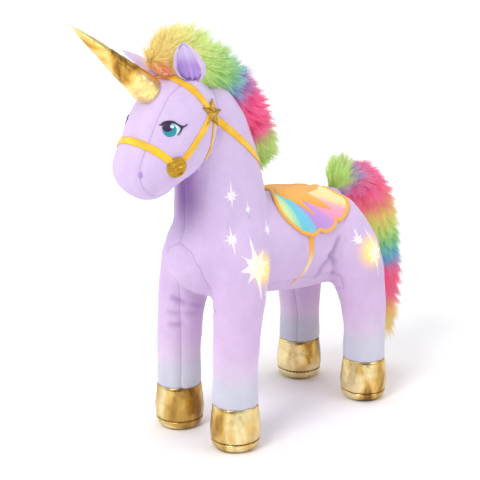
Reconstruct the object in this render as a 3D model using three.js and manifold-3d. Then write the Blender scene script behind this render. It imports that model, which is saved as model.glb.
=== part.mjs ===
// A standing plush unicorn with a bridle, a winged saddle, fur mane and tail, and lights in its skin.
// Millimetres, +Z up. The toy faces -Y and its left side is +X. It stands on z = 0.
// Cloth skins are thin shells round their filling; pieces that touch keep a small gap.
import * as THREE from "three";
import { mergeVertices } from "three/addons/utils/BufferGeometryUtils.js";
import Module from "manifold-3d";

const wasm = await Module();
wasm.setup();

// ---------------------------------------------------------------- driving dimensions
const CENTRE_SHIFT = 8.6; // moves the middle of the whole toy, horn to tail, over the origin
const CLOTH = 1.5; // thickness of the plush cloth
const GAP = 0.3; // clearance between pieces that touch
const FILLING = CLOTH + GAP; // how far the filling lies under the outer surface
const RIBBON = { width: 6.4, thick: 0.8 };
const FRONT_LEG = { x: 37, y: -72 };
const HIND_LEG = { x: 43, y: 104 };
const LEG_BOTTOM = 36; // the leg's form runs on into the hoof
const HOOF = { top: 42, seam: 9.5, topRadius: 20.6, seamRadius: 22.6, soleRadius: 14.5, cloth: 1.2 };
const HORN = { base: [-137, 326], tip: [-211.5, 381], radius: 12.6, cover: 0.8 }; // [y, z]
const TAIL_ROOT = { y: 112, z: 206, radius: 10.5 };
const EAR = { width: 28, depth: 13, height: 41, hingeRadius: 4.5, hingeLength: 14, lining: 1 };
const EAR_BASE = [20, -104, 332.5];
const EAR_TIPS = { left: [31, -126, 367], right: [-36, -135.6, 357] }; // the right ear flops forward
const STAR = { centre: [34, -95, 306], radius: 12, deep: 5, sunk: 1.5, normal: [1, 0.12, 0.2] };
const MEDALLION = { centre: [30, -133, 264.5], radius: 8.6, deep: 5, sunk: 0.5, normal: [1, -0.35, -0.25] };
const GUSSET_HALF = 17; // half width of the panel over the forehead, nose and chin
const BELLY_DOOR = { low: [-20.5, -17], high: [20.5, 53] }; // [x, y]
// Half outlines of the cloth between the legs, as [x, z] from the peak on the middle plane down.
const CHEST_SEAM = [[0, 190], [14, 183], [22, 170]];
const REAR_SEAM = [[0, 188], [32, 138]];
const BELLY_SEAM = [[0, 172], [42, 129]];
const CASE = { low: [-19, -14, 134.5], high: [19, 50, 151], wall: 1.5, divide: 1 };
const COVER_SCREW = { y: 44, radius: 2.3, height: 1.4 };
const CELL = { radius: 5.25, length: 44.5, pitch: 11.4 };
const BUTTON = { radius: 4, y: -7, reach: 1.5 };
const LED = { radius: 4, length: 5 };
const LED_SPOTS = { chest: [47.4, -58, 166], hip: [49.8, 90, 153] };
const WIRE = 1.2; // radius of the light cables
const WIRE_ENTRY = 146; // height where they enter the battery case

// Stations of the soft forms: at is the ring's centre, wide its half width along X, deep its half depth.
const TRUNK = [
  { at: [0, -88, 183], wide: 34, deep: 36 },
  { at: [0, -70, 178], wide: 42, deep: 44 },
  { at: [0, -35, 174], wide: 46, deep: 47 },
  { at: [0, 15, 171], wide: 46, deep: 50 },
  { at: [0, 60, 165], wide: 46, deep: 50 },
  { at: [0, 92, 163], wide: 44, deep: 47 },
  { at: [0, 107, 164], wide: 33, deep: 38 },
];
const NECK = [
  { at: [0, -50, 178], wide: 42, deep: 50 },
  { at: [0, -53, 212], wide: 39, deep: 47 },
  { at: [0, -57, 245], wide: 36, deep: 42 },
  { at: [0, -66, 280], wide: 34, deep: 38 },
  { at: [0, -80, 308], wide: 30, deep: 31 },
];
const HEAD = [
  { at: [0, -85, 313], wide: 28, deep: 29 },
  { at: [0, -101, 302], wide: 36, deep: 40 },
  { at: [0, -119, 281.5], wide: 36.5, deep: 38 },
  { at: [0, -137, 265], wide: 31, deep: 31 },
  { at: [0, -148, 254.5], wide: 28, deep: 26.5 },
];
const FRONT_LEG_RINGS = [
  { at: [0, 0, LEG_BOTTOM], wide: 20.3, deep: 20.3 },
  { at: [0, 0, 75], wide: 20.3, deep: 20.3 },
  { at: [0, 2, 105], wide: 21.5, deep: 21.5 },
  { at: [-1, 6, 135], wide: 24, deep: 25 },
  { at: [-4, 12, 165], wide: 24, deep: 30 },
  { at: [-8, 17, 190], wide: 20, deep: 26 },
  { at: [-15, 20, 212], wide: 14, deep: 19 },
];
const HIND_LEG_RINGS = [
  { at: [0, 0, LEG_BOTTOM], wide: 20.3, deep: 20.3 },
  { at: [0, 0, 75], wide: 20.3, deep: 20.3 },
  { at: [-1, -2, 102], wide: 22, deep: 23.5 },
  { at: [-4, -7, 128], wide: 24, deep: 30 },
  { at: [-8, -12, 155], wide: 25, deep: 29 },
  { at: [-16, -17, 180], wide: 20, deep: 24 },
  { at: [-23, -17, 198], wide: 12, deep: 15 },
];
const MANE = [
  { at: [0, -126, 352], wide: 10, deep: 12 },
  { at: [0, -114, 355], wide: 11, deep: 18 },
  { at: [0, -93, 350], wide: 11, deep: 22 },
  { at: [0, -66, 337], wide: 15, deep: 19 },
  { at: [0, -39, 315], wide: 17, deep: 18 },
  { at: [0, -20, 289], wide: 17, deep: 17 },
  { at: [0, -9, 266], wide: 15, deep: 15 },
  { at: [0, -8, 250], wide: 8, deep: 9 },
];
const TAIL = [
  { at: [0, 113, 207], wide: 8, deep: 8 },
  { at: [0, 124, 214], wide: 15, deep: 13 },
  { at: [0, 143, 208], wide: 19, deep: 18 },
  { at: [0, 160, 187], wide: 21, deep: 20 },
  { at: [0, 170, 150], wide: 22, deep: 21 },
  { at: [0, 174, 112], wide: 22, deep: 21 },
  { at: [0, 177, 76], wide: 19, deep: 18 },
  { at: [0, 184, 54], wide: 12, deep: 11 },
];

const COLOURS = {
  plush: 0xd6bbe3,
  underside: 0xcbb0dc,
  filling: 0xf4f2ee,
  gold: 0xd9a93f,
  ribbon: 0xf5c518,
  lining: 0xb89be0,
  mane: 0xe8588f,
  tail: 0xf07aa8,
  wing: 0xf2a33c,
  eye: 0x1f8e9e,
  plastic: 0xf1f1ee,
  cell: 0x3d7a4a,
  board: 0x2e7d46,
  steel: 0xb9bcc0,
  led: 0xfff3b0,
  wire: 0xc23b3b,
};

// ---------------------------------------------------------------- solids from three.js geometry
function solid(geometry) {
  const bare = new THREE.BufferGeometry();
  bare.setAttribute("position", geometry.getAttribute("position"));
  bare.setIndex(geometry.index);
  const merged = mergeVertices(bare, 1e-4);
  const corners = merged.index.array;
  const faces = [];
  for (let i = 0; i < corners.length; i += 3) {
    const [a, b, c] = corners.slice(i, i + 3);
    if (a !== b && b !== c && c !== a) faces.push(a, b, c);
  }
  const build = (triVerts) =>
    new wasm.Manifold(
      new wasm.Mesh({
        numProp: 3,
        vertProperties: new Float32Array(merged.getAttribute("position").array),
        triVerts: new Uint32Array(triVerts),
      }),
    );
  const made = build(faces);
  return made.volume() < 0 ? build(faces.reverse()) : made;
}

function geometryOf(body) {
  const made = body.getMesh();
  const geometry = new THREE.BufferGeometry();
  geometry.setAttribute("position", new THREE.BufferAttribute(made.vertProperties, 3));
  geometry.setIndex(new THREE.BufferAttribute(made.triVerts, 1));
  return geometry;
}

const union = (bodies) => bodies.reduce((a, b) => a.add(b));
const largest = (body) => body.decompose().reduce((a, b) => (b.volume() > a.volume() ? b : a));

function box(low, high) {
  const size = high.map((value, i) => value - low[i]);
  const geometry = new THREE.BoxGeometry(...size);
  geometry.translate(...low.map((value, i) => value + size[i] / 2));
  return solid(geometry);
}

function ball(centre, radius, sides = 12) {
  return solid(new THREE.SphereGeometry(radius, sides, sides / 2).translate(...centre));
}

function rod(from, to, radius, sides = 12) {
  const reach = new THREE.Vector3(...to).sub(new THREE.Vector3(...from));
  const length = reach.length();
  const geometry = new THREE.CylinderGeometry(radius, radius, length, sides);
  geometry.translate(0, length / 2, 0);
  const turn = new THREE.Quaternion().setFromUnitVectors(new THREE.Vector3(0, 1, 0), reach.normalize());
  return solid(geometry.applyQuaternion(turn).translate(...from));
}

// A profile of [radius, height] pairs spun round the Z axis.
function spin(profile, sides = 14) {
  const points = profile.map(([radius, height]) => new THREE.Vector2(radius, height));
  return new THREE.LatheGeometry(points, sides).rotateX(Math.PI / 2);
}

// A flat outline pushed along the third axis: basis gives the outline's two axes and the push direction.
function prism(outline, depth, basis, origin) {
  const shape = new THREE.Shape(outline.map(([u, v]) => new THREE.Vector2(u, v)));
  const geometry = new THREE.ExtrudeGeometry(shape, { depth, bevelEnabled: false });
  const axes = basis.map((axis) => new THREE.Vector3(...axis));
  const matrix = new THREE.Matrix4().makeBasis(...axes).setPosition(...origin);
  return solid(geometry.applyMatrix4(matrix));
}

const sideCut = (yz, x0, x1) => prism(yz, x1 - x0, [[0, 1, 0], [0, 0, 1], [1, 0, 0]], [x0, 0, 0]);
const frontCut = (xz, y0, y1) => prism(xz, y1 - y0, [[1, 0, 0], [0, 0, 1], [0, -1, 0]], [0, y1, 0]);

// Elliptical rings along a smooth spine, closed by a dome at each end; inset shrinks the whole form.
function loft(stations, { rows = 10, sides = 18, inset = 0, domes = [12, 12] } = {}) {
  const spine = new THREE.CatmullRomCurve3(stations.map((s) => new THREE.Vector3(...s.at)));
  const size = new THREE.CatmullRomCurve3(stations.map((s) => new THREE.Vector3(s.wide, s.deep, 0)));
  const rings = [];
  const addRing = (t, scale, shift) => {
    const along = spine.getTangent(t);
    const centre = spine.getPoint(t).addScaledVector(along, shift);
    const across = new THREE.Vector3(1, 0, 0).addScaledVector(along, -along.x).normalize();
    const out = new THREE.Vector3().crossVectors(across, along);
    const { x: wide, y: deep } = size.getPoint(t);
    rings.push({ centre, across, out, wide: (wide - inset) * scale, deep: (deep - inset) * scale });
  };
  const domeRows = 2;
  const addDome = (t, length, sign) => {
    const steps = [...Array(domeRows).keys()].map((k) => ((k + 1) / domeRows) * (Math.PI / 2) * 0.98);
    const reach = Math.max(length - inset, 0.01);
    const order = sign < 0 ? steps.reverse() : steps;
    order.forEach((angle) => addRing(t, Math.cos(angle), sign * reach * Math.sin(angle)));
  };
  if (domes[0] > 0) addDome(0, domes[0], -1);
  for (let i = 0; i <= rows; i++) addRing(i / rows, 1, 0);
  if (domes[1] > 0) addDome(1, domes[1], 1);

  const points = [];
  rings.forEach((ring) => {
    for (let k = 0; k < sides; k++) {
      const angle = (2 * Math.PI * (k + 0.5)) / sides;
      const p = ring.centre.clone();
      p.addScaledVector(ring.across, ring.wide * Math.cos(angle));
      p.addScaledVector(ring.out, ring.deep * Math.sin(angle));
      points.push(p.x, p.y, p.z);
    }
  });
  const first = rings[0].centre;
  const last = rings[rings.length - 1].centre;
  points.push(first.x, first.y, first.z, last.x, last.y, last.z);
  const start = rings.length * sides;
  const faces = [];
  for (let r = 0; r + 1 < rings.length; r++) {
    for (let k = 0; k < sides; k++) {
      const a = r * sides + k;
      const b = r * sides + ((k + 1) % sides);
      faces.push(a, b, b + sides, a, b + sides, a + sides);
    }
  }
  for (let k = 0; k < sides; k++) {
    const next = (k + 1) % sides;
    faces.push(start, next, k);
    faces.push(start + 1, start - sides + k, start - sides + next);
  }
  const geometry = new THREE.BufferGeometry();
  geometry.setAttribute("position", new THREE.Float32BufferAttribute(points, 3));
  geometry.setIndex(faces);
  return solid(geometry);
}

// ---------------------------------------------------------------- soft body forms
const SIDES = { left: 1, right: -1 };
const LEGS = [];
for (const [sideName, side] of Object.entries(SIDES)) {
  const front = { x: side * FRONT_LEG.x, y: FRONT_LEG.y, rings: FRONT_LEG_RINGS };
  const hind = { x: side * HIND_LEG.x, y: HIND_LEG.y, rings: HIND_LEG_RINGS };
  LEGS.push({ name: `front_${sideName}`, side, ...front });
  LEGS.push({ name: `hind_${sideName}`, side, ...hind });
}

// What lies under the cloth needs fewer sides than the surface.
const sidesFor = (inset) => (inset > 0 ? 10 : 16);
const trunk = (inset) => loft(TRUNK, { rows: 8, sides: sidesFor(inset), inset, domes: [18, 14] });
const neck = (inset) => loft(NECK, { rows: 5, sides: sidesFor(inset), inset, domes: [0.5, 15] });
const head = (inset) => loft(HEAD, { rows: 7, sides: sidesFor(inset), inset, domes: [12, 17] });
const torso = (inset) => union([trunk(inset), neck(inset), head(inset)]);
const leg = ({ x, y, side, rings }, inset) => {
  const placed = rings.map(({ at, ...size }) => ({ at: [x + side * at[0], y + at[1], at[2]], ...size }));
  return loft(placed, { rows: 6, sides: inset > 0 ? 8 : 12, inset, domes: [0, 6] });
};
const wholeForm = (inset) => union([torso(inset), ...LEGS.map((l) => leg(l, inset))]);

const FAR = 400;
function halfSpace(side, from) {
  if (side > 0) return box([from, -FAR, -FAR], [FAR, FAR, FAR]);
  return box([-FAR, -FAR, -FAR], [-from, FAR, FAR]);
}

// ---------------------------------------------------------------- sockets for the moving soft parts
const hornAxis = new THREE.Vector3(0, HORN.tip[0] - HORN.base[0], HORN.tip[1] - HORN.base[1]);
const HORN_LENGTH = hornAxis.length();
hornAxis.normalize();
const hornPlace = new THREE.Matrix4()
  .makeRotationFromQuaternion(new THREE.Quaternion().setFromUnitVectors(new THREE.Vector3(0, 0, 1), hornAxis))
  .setPosition(0, ...HORN.base);

// The ear's own frame: x across its width, y out of its opening, z up to its tip.
function earPlace(sideName) {
  const side = SIDES[sideName];
  const base = new THREE.Vector3(side * EAR_BASE[0], EAR_BASE[1], EAR_BASE[2]);
  const up = new THREE.Vector3(...EAR_TIPS[sideName]).sub(base).normalize();
  const facing = new THREE.Vector3(side * 0.5, -0.86, 0);
  facing.addScaledVector(up, -facing.dot(up)).normalize();
  const across = new THREE.Vector3().crossVectors(facing, up);
  return new THREE.Matrix4().makeBasis(across, facing, up).setPosition(base);
}

function earHinge(sideName, extra) {
  const geometry = new THREE.CylinderGeometry(
    EAR.hingeRadius + extra,
    EAR.hingeRadius + extra,
    EAR.hingeLength + 2 * extra,
    10,
  );
  return solid(geometry.rotateZ(Math.PI / 2).applyMatrix4(earPlace(sideName)));
}

const sockets = union([
  ball([0, ...HORN.base], HORN.radius + 2 * GAP, 14),
  ball([0, TAIL_ROOT.y, TAIL_ROOT.z], TAIL_ROOT.radius + 2 * GAP, 14),
  earHinge("left", GAP),
  earHinge("right", GAP),
]);
const bellyDoor = (gap) =>
  box(
    [BELLY_DOOR.low[0] - gap, BELLY_DOOR.low[1] - gap, 90],
    [BELLY_DOOR.high[0] + gap, BELLY_DOOR.high[1] + gap, 145],
  );

// ---------------------------------------------------------------- skins
const belowCuffs = box([-FAR, -FAR, -1], [FAR, FAR, HOOF.top + GAP]);
const skin = wholeForm(0).subtract(wholeForm(CLOTH)).subtract(belowCuffs).subtract(sockets);

// The cloth between the legs: a triangle up the chest, the belly, and a triangle up behind.
function underbodyZone(gap) {
  const cut = (seam, floor, y0, y1) => {
    const right = seam.map(([x, z]) => [x > 0 ? x + gap : 0, z + gap]);
    const half = [...right, [right[right.length - 1][0], floor]];
    const left = half.slice(1).reverse().map(([x, z]) => [-x, z]);
    return frontCut([...half, ...left], y0, y1);
  };
  return union([cut(CHEST_SEAM, -5, -125, -20), cut(REAR_SEAM, -5, 50, 135), cut(BELLY_SEAM, 118, -60, 80)]);
}

const headZone = (gap) => head(-GAP / 2 - gap);
const headSkin = skin.intersect(headZone(0));
const bodySkin = skin.subtract(headZone(GAP));
const headStrip = (gap) => box([-GUSSET_HALF - gap, -FAR, -FAR], [GUSSET_HALF + gap, FAR, FAR]);
const headSide = (side) => headSkin.subtract(headStrip(GAP)).intersect(halfSpace(side, 0));
const bodySide = (side) => bodySkin.subtract(underbodyZone(GAP)).intersect(halfSpace(side, GAP / 2));
const underbody = bodySkin.intersect(underbodyZone(0));

// ---------------------------------------------------------------- hooves
const hoofOuter = [
  [HOOF.seamRadius, HOOF.seam + GAP / 2],
  [21.9, 18],
  [20.7, 29],
  [HOOF.topRadius, HOOF.top],
];
const inward = ([radius, height]) => [radius - HOOF.cloth, height];
const hoofUpper = [...hoofOuter, ...[...hoofOuter].reverse().map(inward), hoofOuter[0]];
const hoofSole = [
  [0, 0],
  [HOOF.soleRadius, 0],
  [19.6, 3],
  [HOOF.seamRadius, HOOF.seam - GAP / 2],
  [HOOF.seamRadius - HOOF.cloth, HOOF.seam - GAP / 2],
  [18.4, 3.9],
  [HOOF.soleRadius - 0.6, HOOF.cloth],
  [0, HOOF.cloth],
];
const hoofFilling = [
  [0, HOOF.cloth + GAP],
  [HOOF.soleRadius - 1.2, HOOF.cloth + GAP],
  [18, 4.4],
  [HOOF.seamRadius - HOOF.cloth - GAP, HOOF.seam],
  [20.4, 18],
  [19.2, 29],
  [HOOF.topRadius - HOOF.cloth - GAP, HOOF.top],
  [0, HOOF.top],
];
const atFoot = (profile, { x, y }) => solid(spin(profile).translate(x, y, 0));

// ---------------------------------------------------------------- battery case and lights
function batteryCase() {
  const { low, high, wall, divide } = CASE;
  const shell = box(low, high);
  const roof = high[2] - wall;
  const bay = box([low[0] + wall, divide, low[2] - 1], [high[0] - wall, high[1] - wall, roof]);
  const boardRoom = box(low.map((v) => v + wall), [high[0] - wall, divide - wall, roof]);
  const buttonHole = rod([0, BUTTON.y, low[2] - 1], [0, BUTTON.y, low[2] + 3], BUTTON.radius + 2 * GAP);
  const wireHole = rod([0, low[1] - 1, WIRE_ENTRY], [0, low[1] + 3, WIRE_ENTRY], WIRE + 2 * GAP, 6);
  return shell.subtract(bay).subtract(boardRoom).subtract(buttonHole).subtract(wireHole);
}

function batteryCover() {
  const { low, high, wall, divide } = CASE;
  const inset = wall + GAP;
  const top = [high[0] - inset, high[1] - inset, low[2] + 1.6];
  const plate = box([low[0] + inset, divide + GAP, low[2]], top);
  const { y, radius } = COVER_SCREW;
  return plate.subtract(rod([0, y, low[2] - 1], [0, y, low[2] + 1], radius + GAP));
}
function coverScrew() {
  const { y, radius, height } = COVER_SCREW;
  return rod([0, y, CASE.low[2] - height / 2], [0, y, CASE.low[2] + height / 2], radius);
}

const cell = (column) => {
  const x = column * CELL.pitch;
  const z = CASE.low[2] + 7.8;
  const y = CASE.divide + 0.8;
  const can = rod([x, y, z], [x, y + CELL.length - 1, z], CELL.radius, 12);
  return can.add(rod([x, y + CELL.length - 1.5, z], [x, y + CELL.length, z], 2, 8));
};

function button() {
  const bottom = CASE.low[2] - 1.7;
  const cap = rod([0, BUTTON.y, bottom], [0, BUTTON.y, CASE.low[2] + 4.5], BUTTON.radius);
  const flange = CASE.low[2] + CASE.wall + GAP;
  return cap.add(rod([0, BUTTON.y, flange], [0, BUTTON.y, flange + 1.2], BUTTON.radius + 1.4));
}

const ledAt = (name, side, extra) => {
  const [x, y, z] = LED_SPOTS[name];
  const front = x + LED.length + 6 * extra;
  return rod([side * (x - extra), y, z], [side * front, y, z], LED.radius + extra, 10);
};
const harnessHub = [0, -19, 156];
function harness(extra) {
  const radius = WIRE + extra;
  const drop = [0, harnessHub[1], WIRE_ENTRY];
  const parts = [ball(harnessHub, radius * 1.5, 6), ball(drop, radius * 1.1, 6)];
  parts.push(rod(harnessHub, drop, radius, 5));
  parts.push(rod(drop, [0, CASE.low[1] + 2.5, WIRE_ENTRY], radius, 5));
  for (const [x, y, z] of Object.values(LED_SPOTS)) {
    for (const side of Object.values(SIDES)) {
      const bend = [side * (x - 15), y - Math.sign(y) * 10, z];
      parts.push(rod(harnessHub, bend, radius, 5));
      if (extra > 0) parts.push(ball(bend, radius * 1.1, 6));
      parts.push(rod(bend, [side * (x - 2 * GAP + extra), y, z], radius, 5));
    }
  }
  return union(parts);
}

const ledPair = (name, extra) => ledAt(name, 1, extra).add(ledAt(name, -1, extra));

// ---------------------------------------------------------------- fillings
const innards = union([harness(GAP), ledPair("chest", GAP), ledPair("hip", GAP)]);
const casePocket = box(
  [CASE.low[0] - GAP, CASE.low[1] - GAP, 80],
  [CASE.high[0] + GAP, CASE.high[1] + GAP, CASE.high[2] + GAP],
);
const bodyFilling = trunk(FILLING)
  .add(neck(FILLING))
  .subtract(head(FILLING - GAP))
  .subtract(sockets)
  .subtract(casePocket)
  .subtract(innards);
const legFilling = (l) =>
  leg(l, FILLING)
    .add(atFoot(hoofFilling, l))
    .subtract(trunk(CLOTH))
    .subtract(neck(CLOTH))
    .subtract(innards);
const headFilling = head(FILLING).subtract(sockets);

// ---------------------------------------------------------------- horn
const hornProfile = [[1, 0], [0.96, 0.08], [0.68, 0.42], [0.42, 0.72], [0.2, 0.93]];
function hornShape(shrink, start) {
  const side = hornProfile.map(([r, s]) => [
    Math.max(HORN.radius * r - shrink, 0.3),
    start + (HORN_LENGTH - shrink) * s,
  ]);
  return [[0, start], ...side, [0, HORN_LENGTH - 2 * shrink]];
}
const hornCover = () => {
  const outer = solid(spin(hornShape(0, GAP)).applyMatrix4(hornPlace));
  const inner = solid(spin(hornShape(HORN.cover, GAP - 1)).applyMatrix4(hornPlace));
  return outer.subtract(inner);
};
const hornFilling = () => {
  const cone = solid(spin(hornShape(HORN.cover + GAP, 0)).applyMatrix4(hornPlace));
  return cone.add(ball([0, ...HORN.base], HORN.radius - HORN.cover - GAP - 0.2, 14));
};

// ---------------------------------------------------------------- ears
const clearOfRibbon = torso(-2 * GAP - RIBBON.thick);
const clearWhenBent = torso(-2 * GAP - RIBBON.thick - 1);
const leafProfile = [[0.45, 0.05], [0.84, 0.2], [1, 0.42], [0.76, 0.7], [0.34, 0.92]];
// A leaf spun from the profile and flattened; low and high are where it starts and ends along the ear.
function earLeaf(sideName, { width, depth, shift, low, high }) {
  const side = leafProfile.map(([r, h]) => [r, low + (high - low) * h]);
  const geometry = spin([[0, side[0][1]], ...side, [0, high]], 12);
  geometry.scale(width / 2, depth / 2, 1).translate(0, shift, 0);
  return solid(geometry.applyMatrix4(earPlace(sideName)));
}
const EAR_WALL = 1.8;
const earCup = {
  width: EAR.width - 2 * EAR_WALL,
  depth: EAR.depth - 1,
  shift: EAR_WALL,
  low: 3,
  high: EAR.height - 2,
};
const earBack = (sideName) =>
  earLeaf(sideName, { width: EAR.width, depth: EAR.depth, shift: 0, low: 0, high: EAR.height })
    .subtract(earLeaf(sideName, earCup))
    .subtract(clearWhenBent)
    .add(earHinge(sideName, 0));
function earLining(sideName) {
  const width = earCup.width - 2 * GAP;
  const outer = { ...earCup, width, depth: earCup.depth - 2 * GAP, high: earCup.high - GAP };
  const inner = { ...outer, width: width - 2, shift: outer.shift + EAR.lining, high: outer.high - 1.5 };
  const backHalf = new THREE.BoxGeometry(60, 20, 120).translate(0, 1.2 - 10, 70);
  const cut = solid(backHalf.applyMatrix4(earPlace(sideName)));
  return earLeaf(sideName, outer).subtract(earLeaf(sideName, inner)).intersect(cut);
}

// ---------------------------------------------------------------- mane and tail
const maneForm = (inset) => loft(MANE, { rows: 12, sides: 12, inset, domes: [9, 5] });
const earSwing = (sideName) => ball([SIDES[sideName] * 25, -112, 347], 16.5, 12);
const mane = maneForm(0)
  .subtract(torso(-GAP * 2 - RIBBON.thick))
  .subtract(sockets)
  .subtract(earSwing("left"))
  .subtract(earSwing("right"));
const tuftForm = new THREE.SphereGeometry(1, 12, 8).scale(12, 9, 15);
const tuft = solid(tuftForm.translate(0, TAIL_ROOT.y, TAIL_ROOT.z + 16));
const tail = loft(TAIL, { rows: 11, sides: 12, domes: [3, 13] })
  .add(ball([0, TAIL_ROOT.y, TAIL_ROOT.z], TAIL_ROOT.radius, 14))
  .add(tuft);

// ---------------------------------------------------------------- bridle
const starPoint = STAR.centre.slice(1);
const medallionPoint = MEDALLION.centre.slice(1);
// A band of ribbon lies on the torso where a slab cuts it: from point along heading, both as [y, z].
const BANDS = {
  nose: { point: [-160, 288.4], heading: [0.749, -0.662], from: -30, to: 37 },
  brow: { point: starPoint, heading: [-0.596, 0.803], from: 0, to: 60 },
  cheek: { point: medallionPoint, heading: [0.669, 0.744], from: 4, to: 52 },
  rein: { point: starPoint, heading: [0.79, -0.613], from: 4, to: 92 },
  throat: { point: [-82, 300], heading: [-0.3, -0.954], from: 4, to: 44 },
};
const THROAT_WIDTH = 3.2;
function bandSlab({ point: [y, z], heading, from, to }, width = RIBBON.width) {
  const geometry = new THREE.BoxGeometry(2 * FAR, width, to - from);
  geometry.translate(0, 0, (from + to) / 2);
  geometry.rotateX(Math.atan2(-heading[0], heading[1]));
  return solid(geometry.translate(0, y, z));
}
const ribbonShell = torso(-GAP - RIBBON.thick).subtract(torso(-GAP));
const ballPair = ([x, y, z], radius) => ball([x, y, z], radius).add(ball([-x, y, z], radius));
const starClear = ballPair(STAR.centre, 6);
const noseband = ribbonShell.intersect(bandSlab(BANDS.nose)).subtract(ballPair(MEDALLION.centre, 4.5));
const browband = ribbonShell.intersect(bandSlab(BANDS.brow)).subtract(starClear);
const cheekStrap = (side) =>
  ribbonShell
    .intersect(bandSlab(BANDS.cheek))
    .intersect(halfSpace(side, 12))
    .subtract(starClear)
    .subtract(bandSlab(BANDS.nose, RIBBON.width + 2 * GAP));
const rein = (side) =>
  ribbonShell
    .intersect(bandSlab(BANDS.rein))
    .intersect(halfSpace(side, 12))
    .subtract(starClear)
    .subtract(maneForm(-GAP));
const throatStrap = (side) =>
  ribbonShell
    .intersect(bandSlab(BANDS.throat, THROAT_WIDTH))
    .intersect(halfSpace(side, 6))
    .subtract(bandSlab({ ...BANDS.rein, from: -20 }, RIBBON.width + 2 * GAP))
    .subtract(head(-GAP - RIBBON.thick - GAP));

function badgePlace(centre, side, normal) {
  const facing = new THREE.Vector3(side * normal[0], normal[1], normal[2]).normalize();
  const up = new THREE.Vector3(0, 0.2, 1);
  up.addScaledVector(facing, -facing.dot(up)).normalize();
  const across = new THREE.Vector3().crossVectors(up, facing);
  const at = new THREE.Vector3(side * centre[0], centre[1], centre[2]);
  return new THREE.Matrix4().makeBasis(across, up, facing).setPosition(at);
}
function starBadge(side) {
  const corners = [...Array(10).keys()].map((k) => {
    const radius = k % 2 ? STAR.radius * 0.45 : STAR.radius;
    const angle = Math.PI / 2 + (k * Math.PI) / 5;
    return new THREE.Vector2(radius * Math.cos(angle), radius * Math.sin(angle));
  });
  const push = { depth: STAR.deep, bevelEnabled: false };
  const geometry = new THREE.ExtrudeGeometry(new THREE.Shape(corners), push);
  geometry.translate(0, 0, -STAR.sunk).applyMatrix4(badgePlace(STAR.centre, side, STAR.normal));
  return largest(solid(geometry).subtract(clearOfRibbon));
}
function medallion(side) {
  const { centre, radius, deep, sunk, normal } = MEDALLION;
  const geometry = new THREE.CylinderGeometry(radius, radius, deep, 18).rotateX(Math.PI / 2);
  geometry.translate(0, 0, deep / 2 - sunk).applyMatrix4(badgePlace(centre, side, normal));
  return largest(solid(geometry).subtract(clearOfRibbon));
}

// ---------------------------------------------------------------- eyes
const EYE = { centre: [28, -138, 297], width: 15, height: 13, thick: 0.6 };
const eyeShell = head(-GAP - EYE.thick).subtract(head(-GAP));
function eye(side) {
  const [x, y, z] = EYE.centre;
  const dot = new THREE.SphereGeometry(1, 12, 8).scale(8, EYE.width / 2, EYE.height / 2);
  return eyeShell.intersect(solid(dot.rotateZ(side * -0.75).translate(side * x, y, z)));
}

// ---------------------------------------------------------------- saddle and girth
// The wing's outline on the left flank, as [x, y, z] points on the trunk, from the spine round to the spine.
const WING = [
  [0, 12, 221],
  [12, 4, 219],
  [23, -7, 214],
  [35, -10, 203],
  [42, 1, 190],
  [44, 16, 183],
  [43.5, 32, 182],
  [43, 46, 182.5],
  [41.5, 60, 187],
  [37, 74, 191],
  [31, 84, 197],
  [22, 86, 204],
  [0, 80, 212],
];
const WING_TILT = (48 * Math.PI) / 180; // the direction from which one side of the outline is seen whole
const backArea = box([-60, -20, 120], [60, 100, 240]);
const saddleShell = wholeForm(-GAP - 1).subtract(wholeForm(-GAP)).intersect(backArea);
function wingSide(side) {
  const away = [side * Math.sin(WING_TILT), 0, Math.cos(WING_TILT)];
  const down = [side * Math.cos(WING_TILT), 0, -Math.sin(WING_TILT)];
  const flat = ([x, y, z]) => new THREE.Vector2(side * (x * down[0] * side + z * down[2]), y);
  const rim = new THREE.SplineCurve(WING.map(flat)).getPoints(26);
  const basis = [down.map((v) => v * side), [0, 1, 0], away];
  const outline = rim.map((p) => [p.x, p.y]);
  const pastSpine = [outline[0][0] - side * 6, 46];
  return prism([...outline, pastSpine], FAR, basis, [0, 0, 0]).intersect(halfSpace(side, -0.2));
}
const saddle = union(Object.values(SIDES).map((side) => saddleShell.intersect(wingSide(side))));
const saddleZone = union(Object.values(SIDES).map(wingSide)).translate([0, 0, -GAP - 0.2]);
// The strap below the wing, as [y, z] points.
const GIRTH = [
  [16.7, 181],
  [23.7, 181],
  [24, 160],
  [20.5, 148],
  [15, 137],
  [10.5, 137],
  [14.5, 147],
  [17, 160],
];
const girth = (side) =>
  saddleShell
    .intersect(sideCut(GIRTH, -60, 60))
    .intersect(halfSpace(side, 20))
    .subtract(saddleZone);

// ---------------------------------------------------------------- belly flap
const flap = wholeForm(0)
  .subtract(wholeForm(CLOTH))
  .intersect(bellyDoor(-2 * GAP))
  .intersect(box([-FAR, -FAR, 100], [FAR, FAR, 136]));

// ---------------------------------------------------------------- assembly
const toy = new THREE.Group();
toy.position.y = CENTRE_SHIFT;
function addPiece(name, body, colour, roughness = 0.9, metalness = 0) {
  const material = new THREE.MeshStandardMaterial({ color: colour, roughness, metalness });
  const mesh = new THREE.Mesh(geometryOf(body), material);
  mesh.name = name;
  toy.add(mesh);
}

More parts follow.
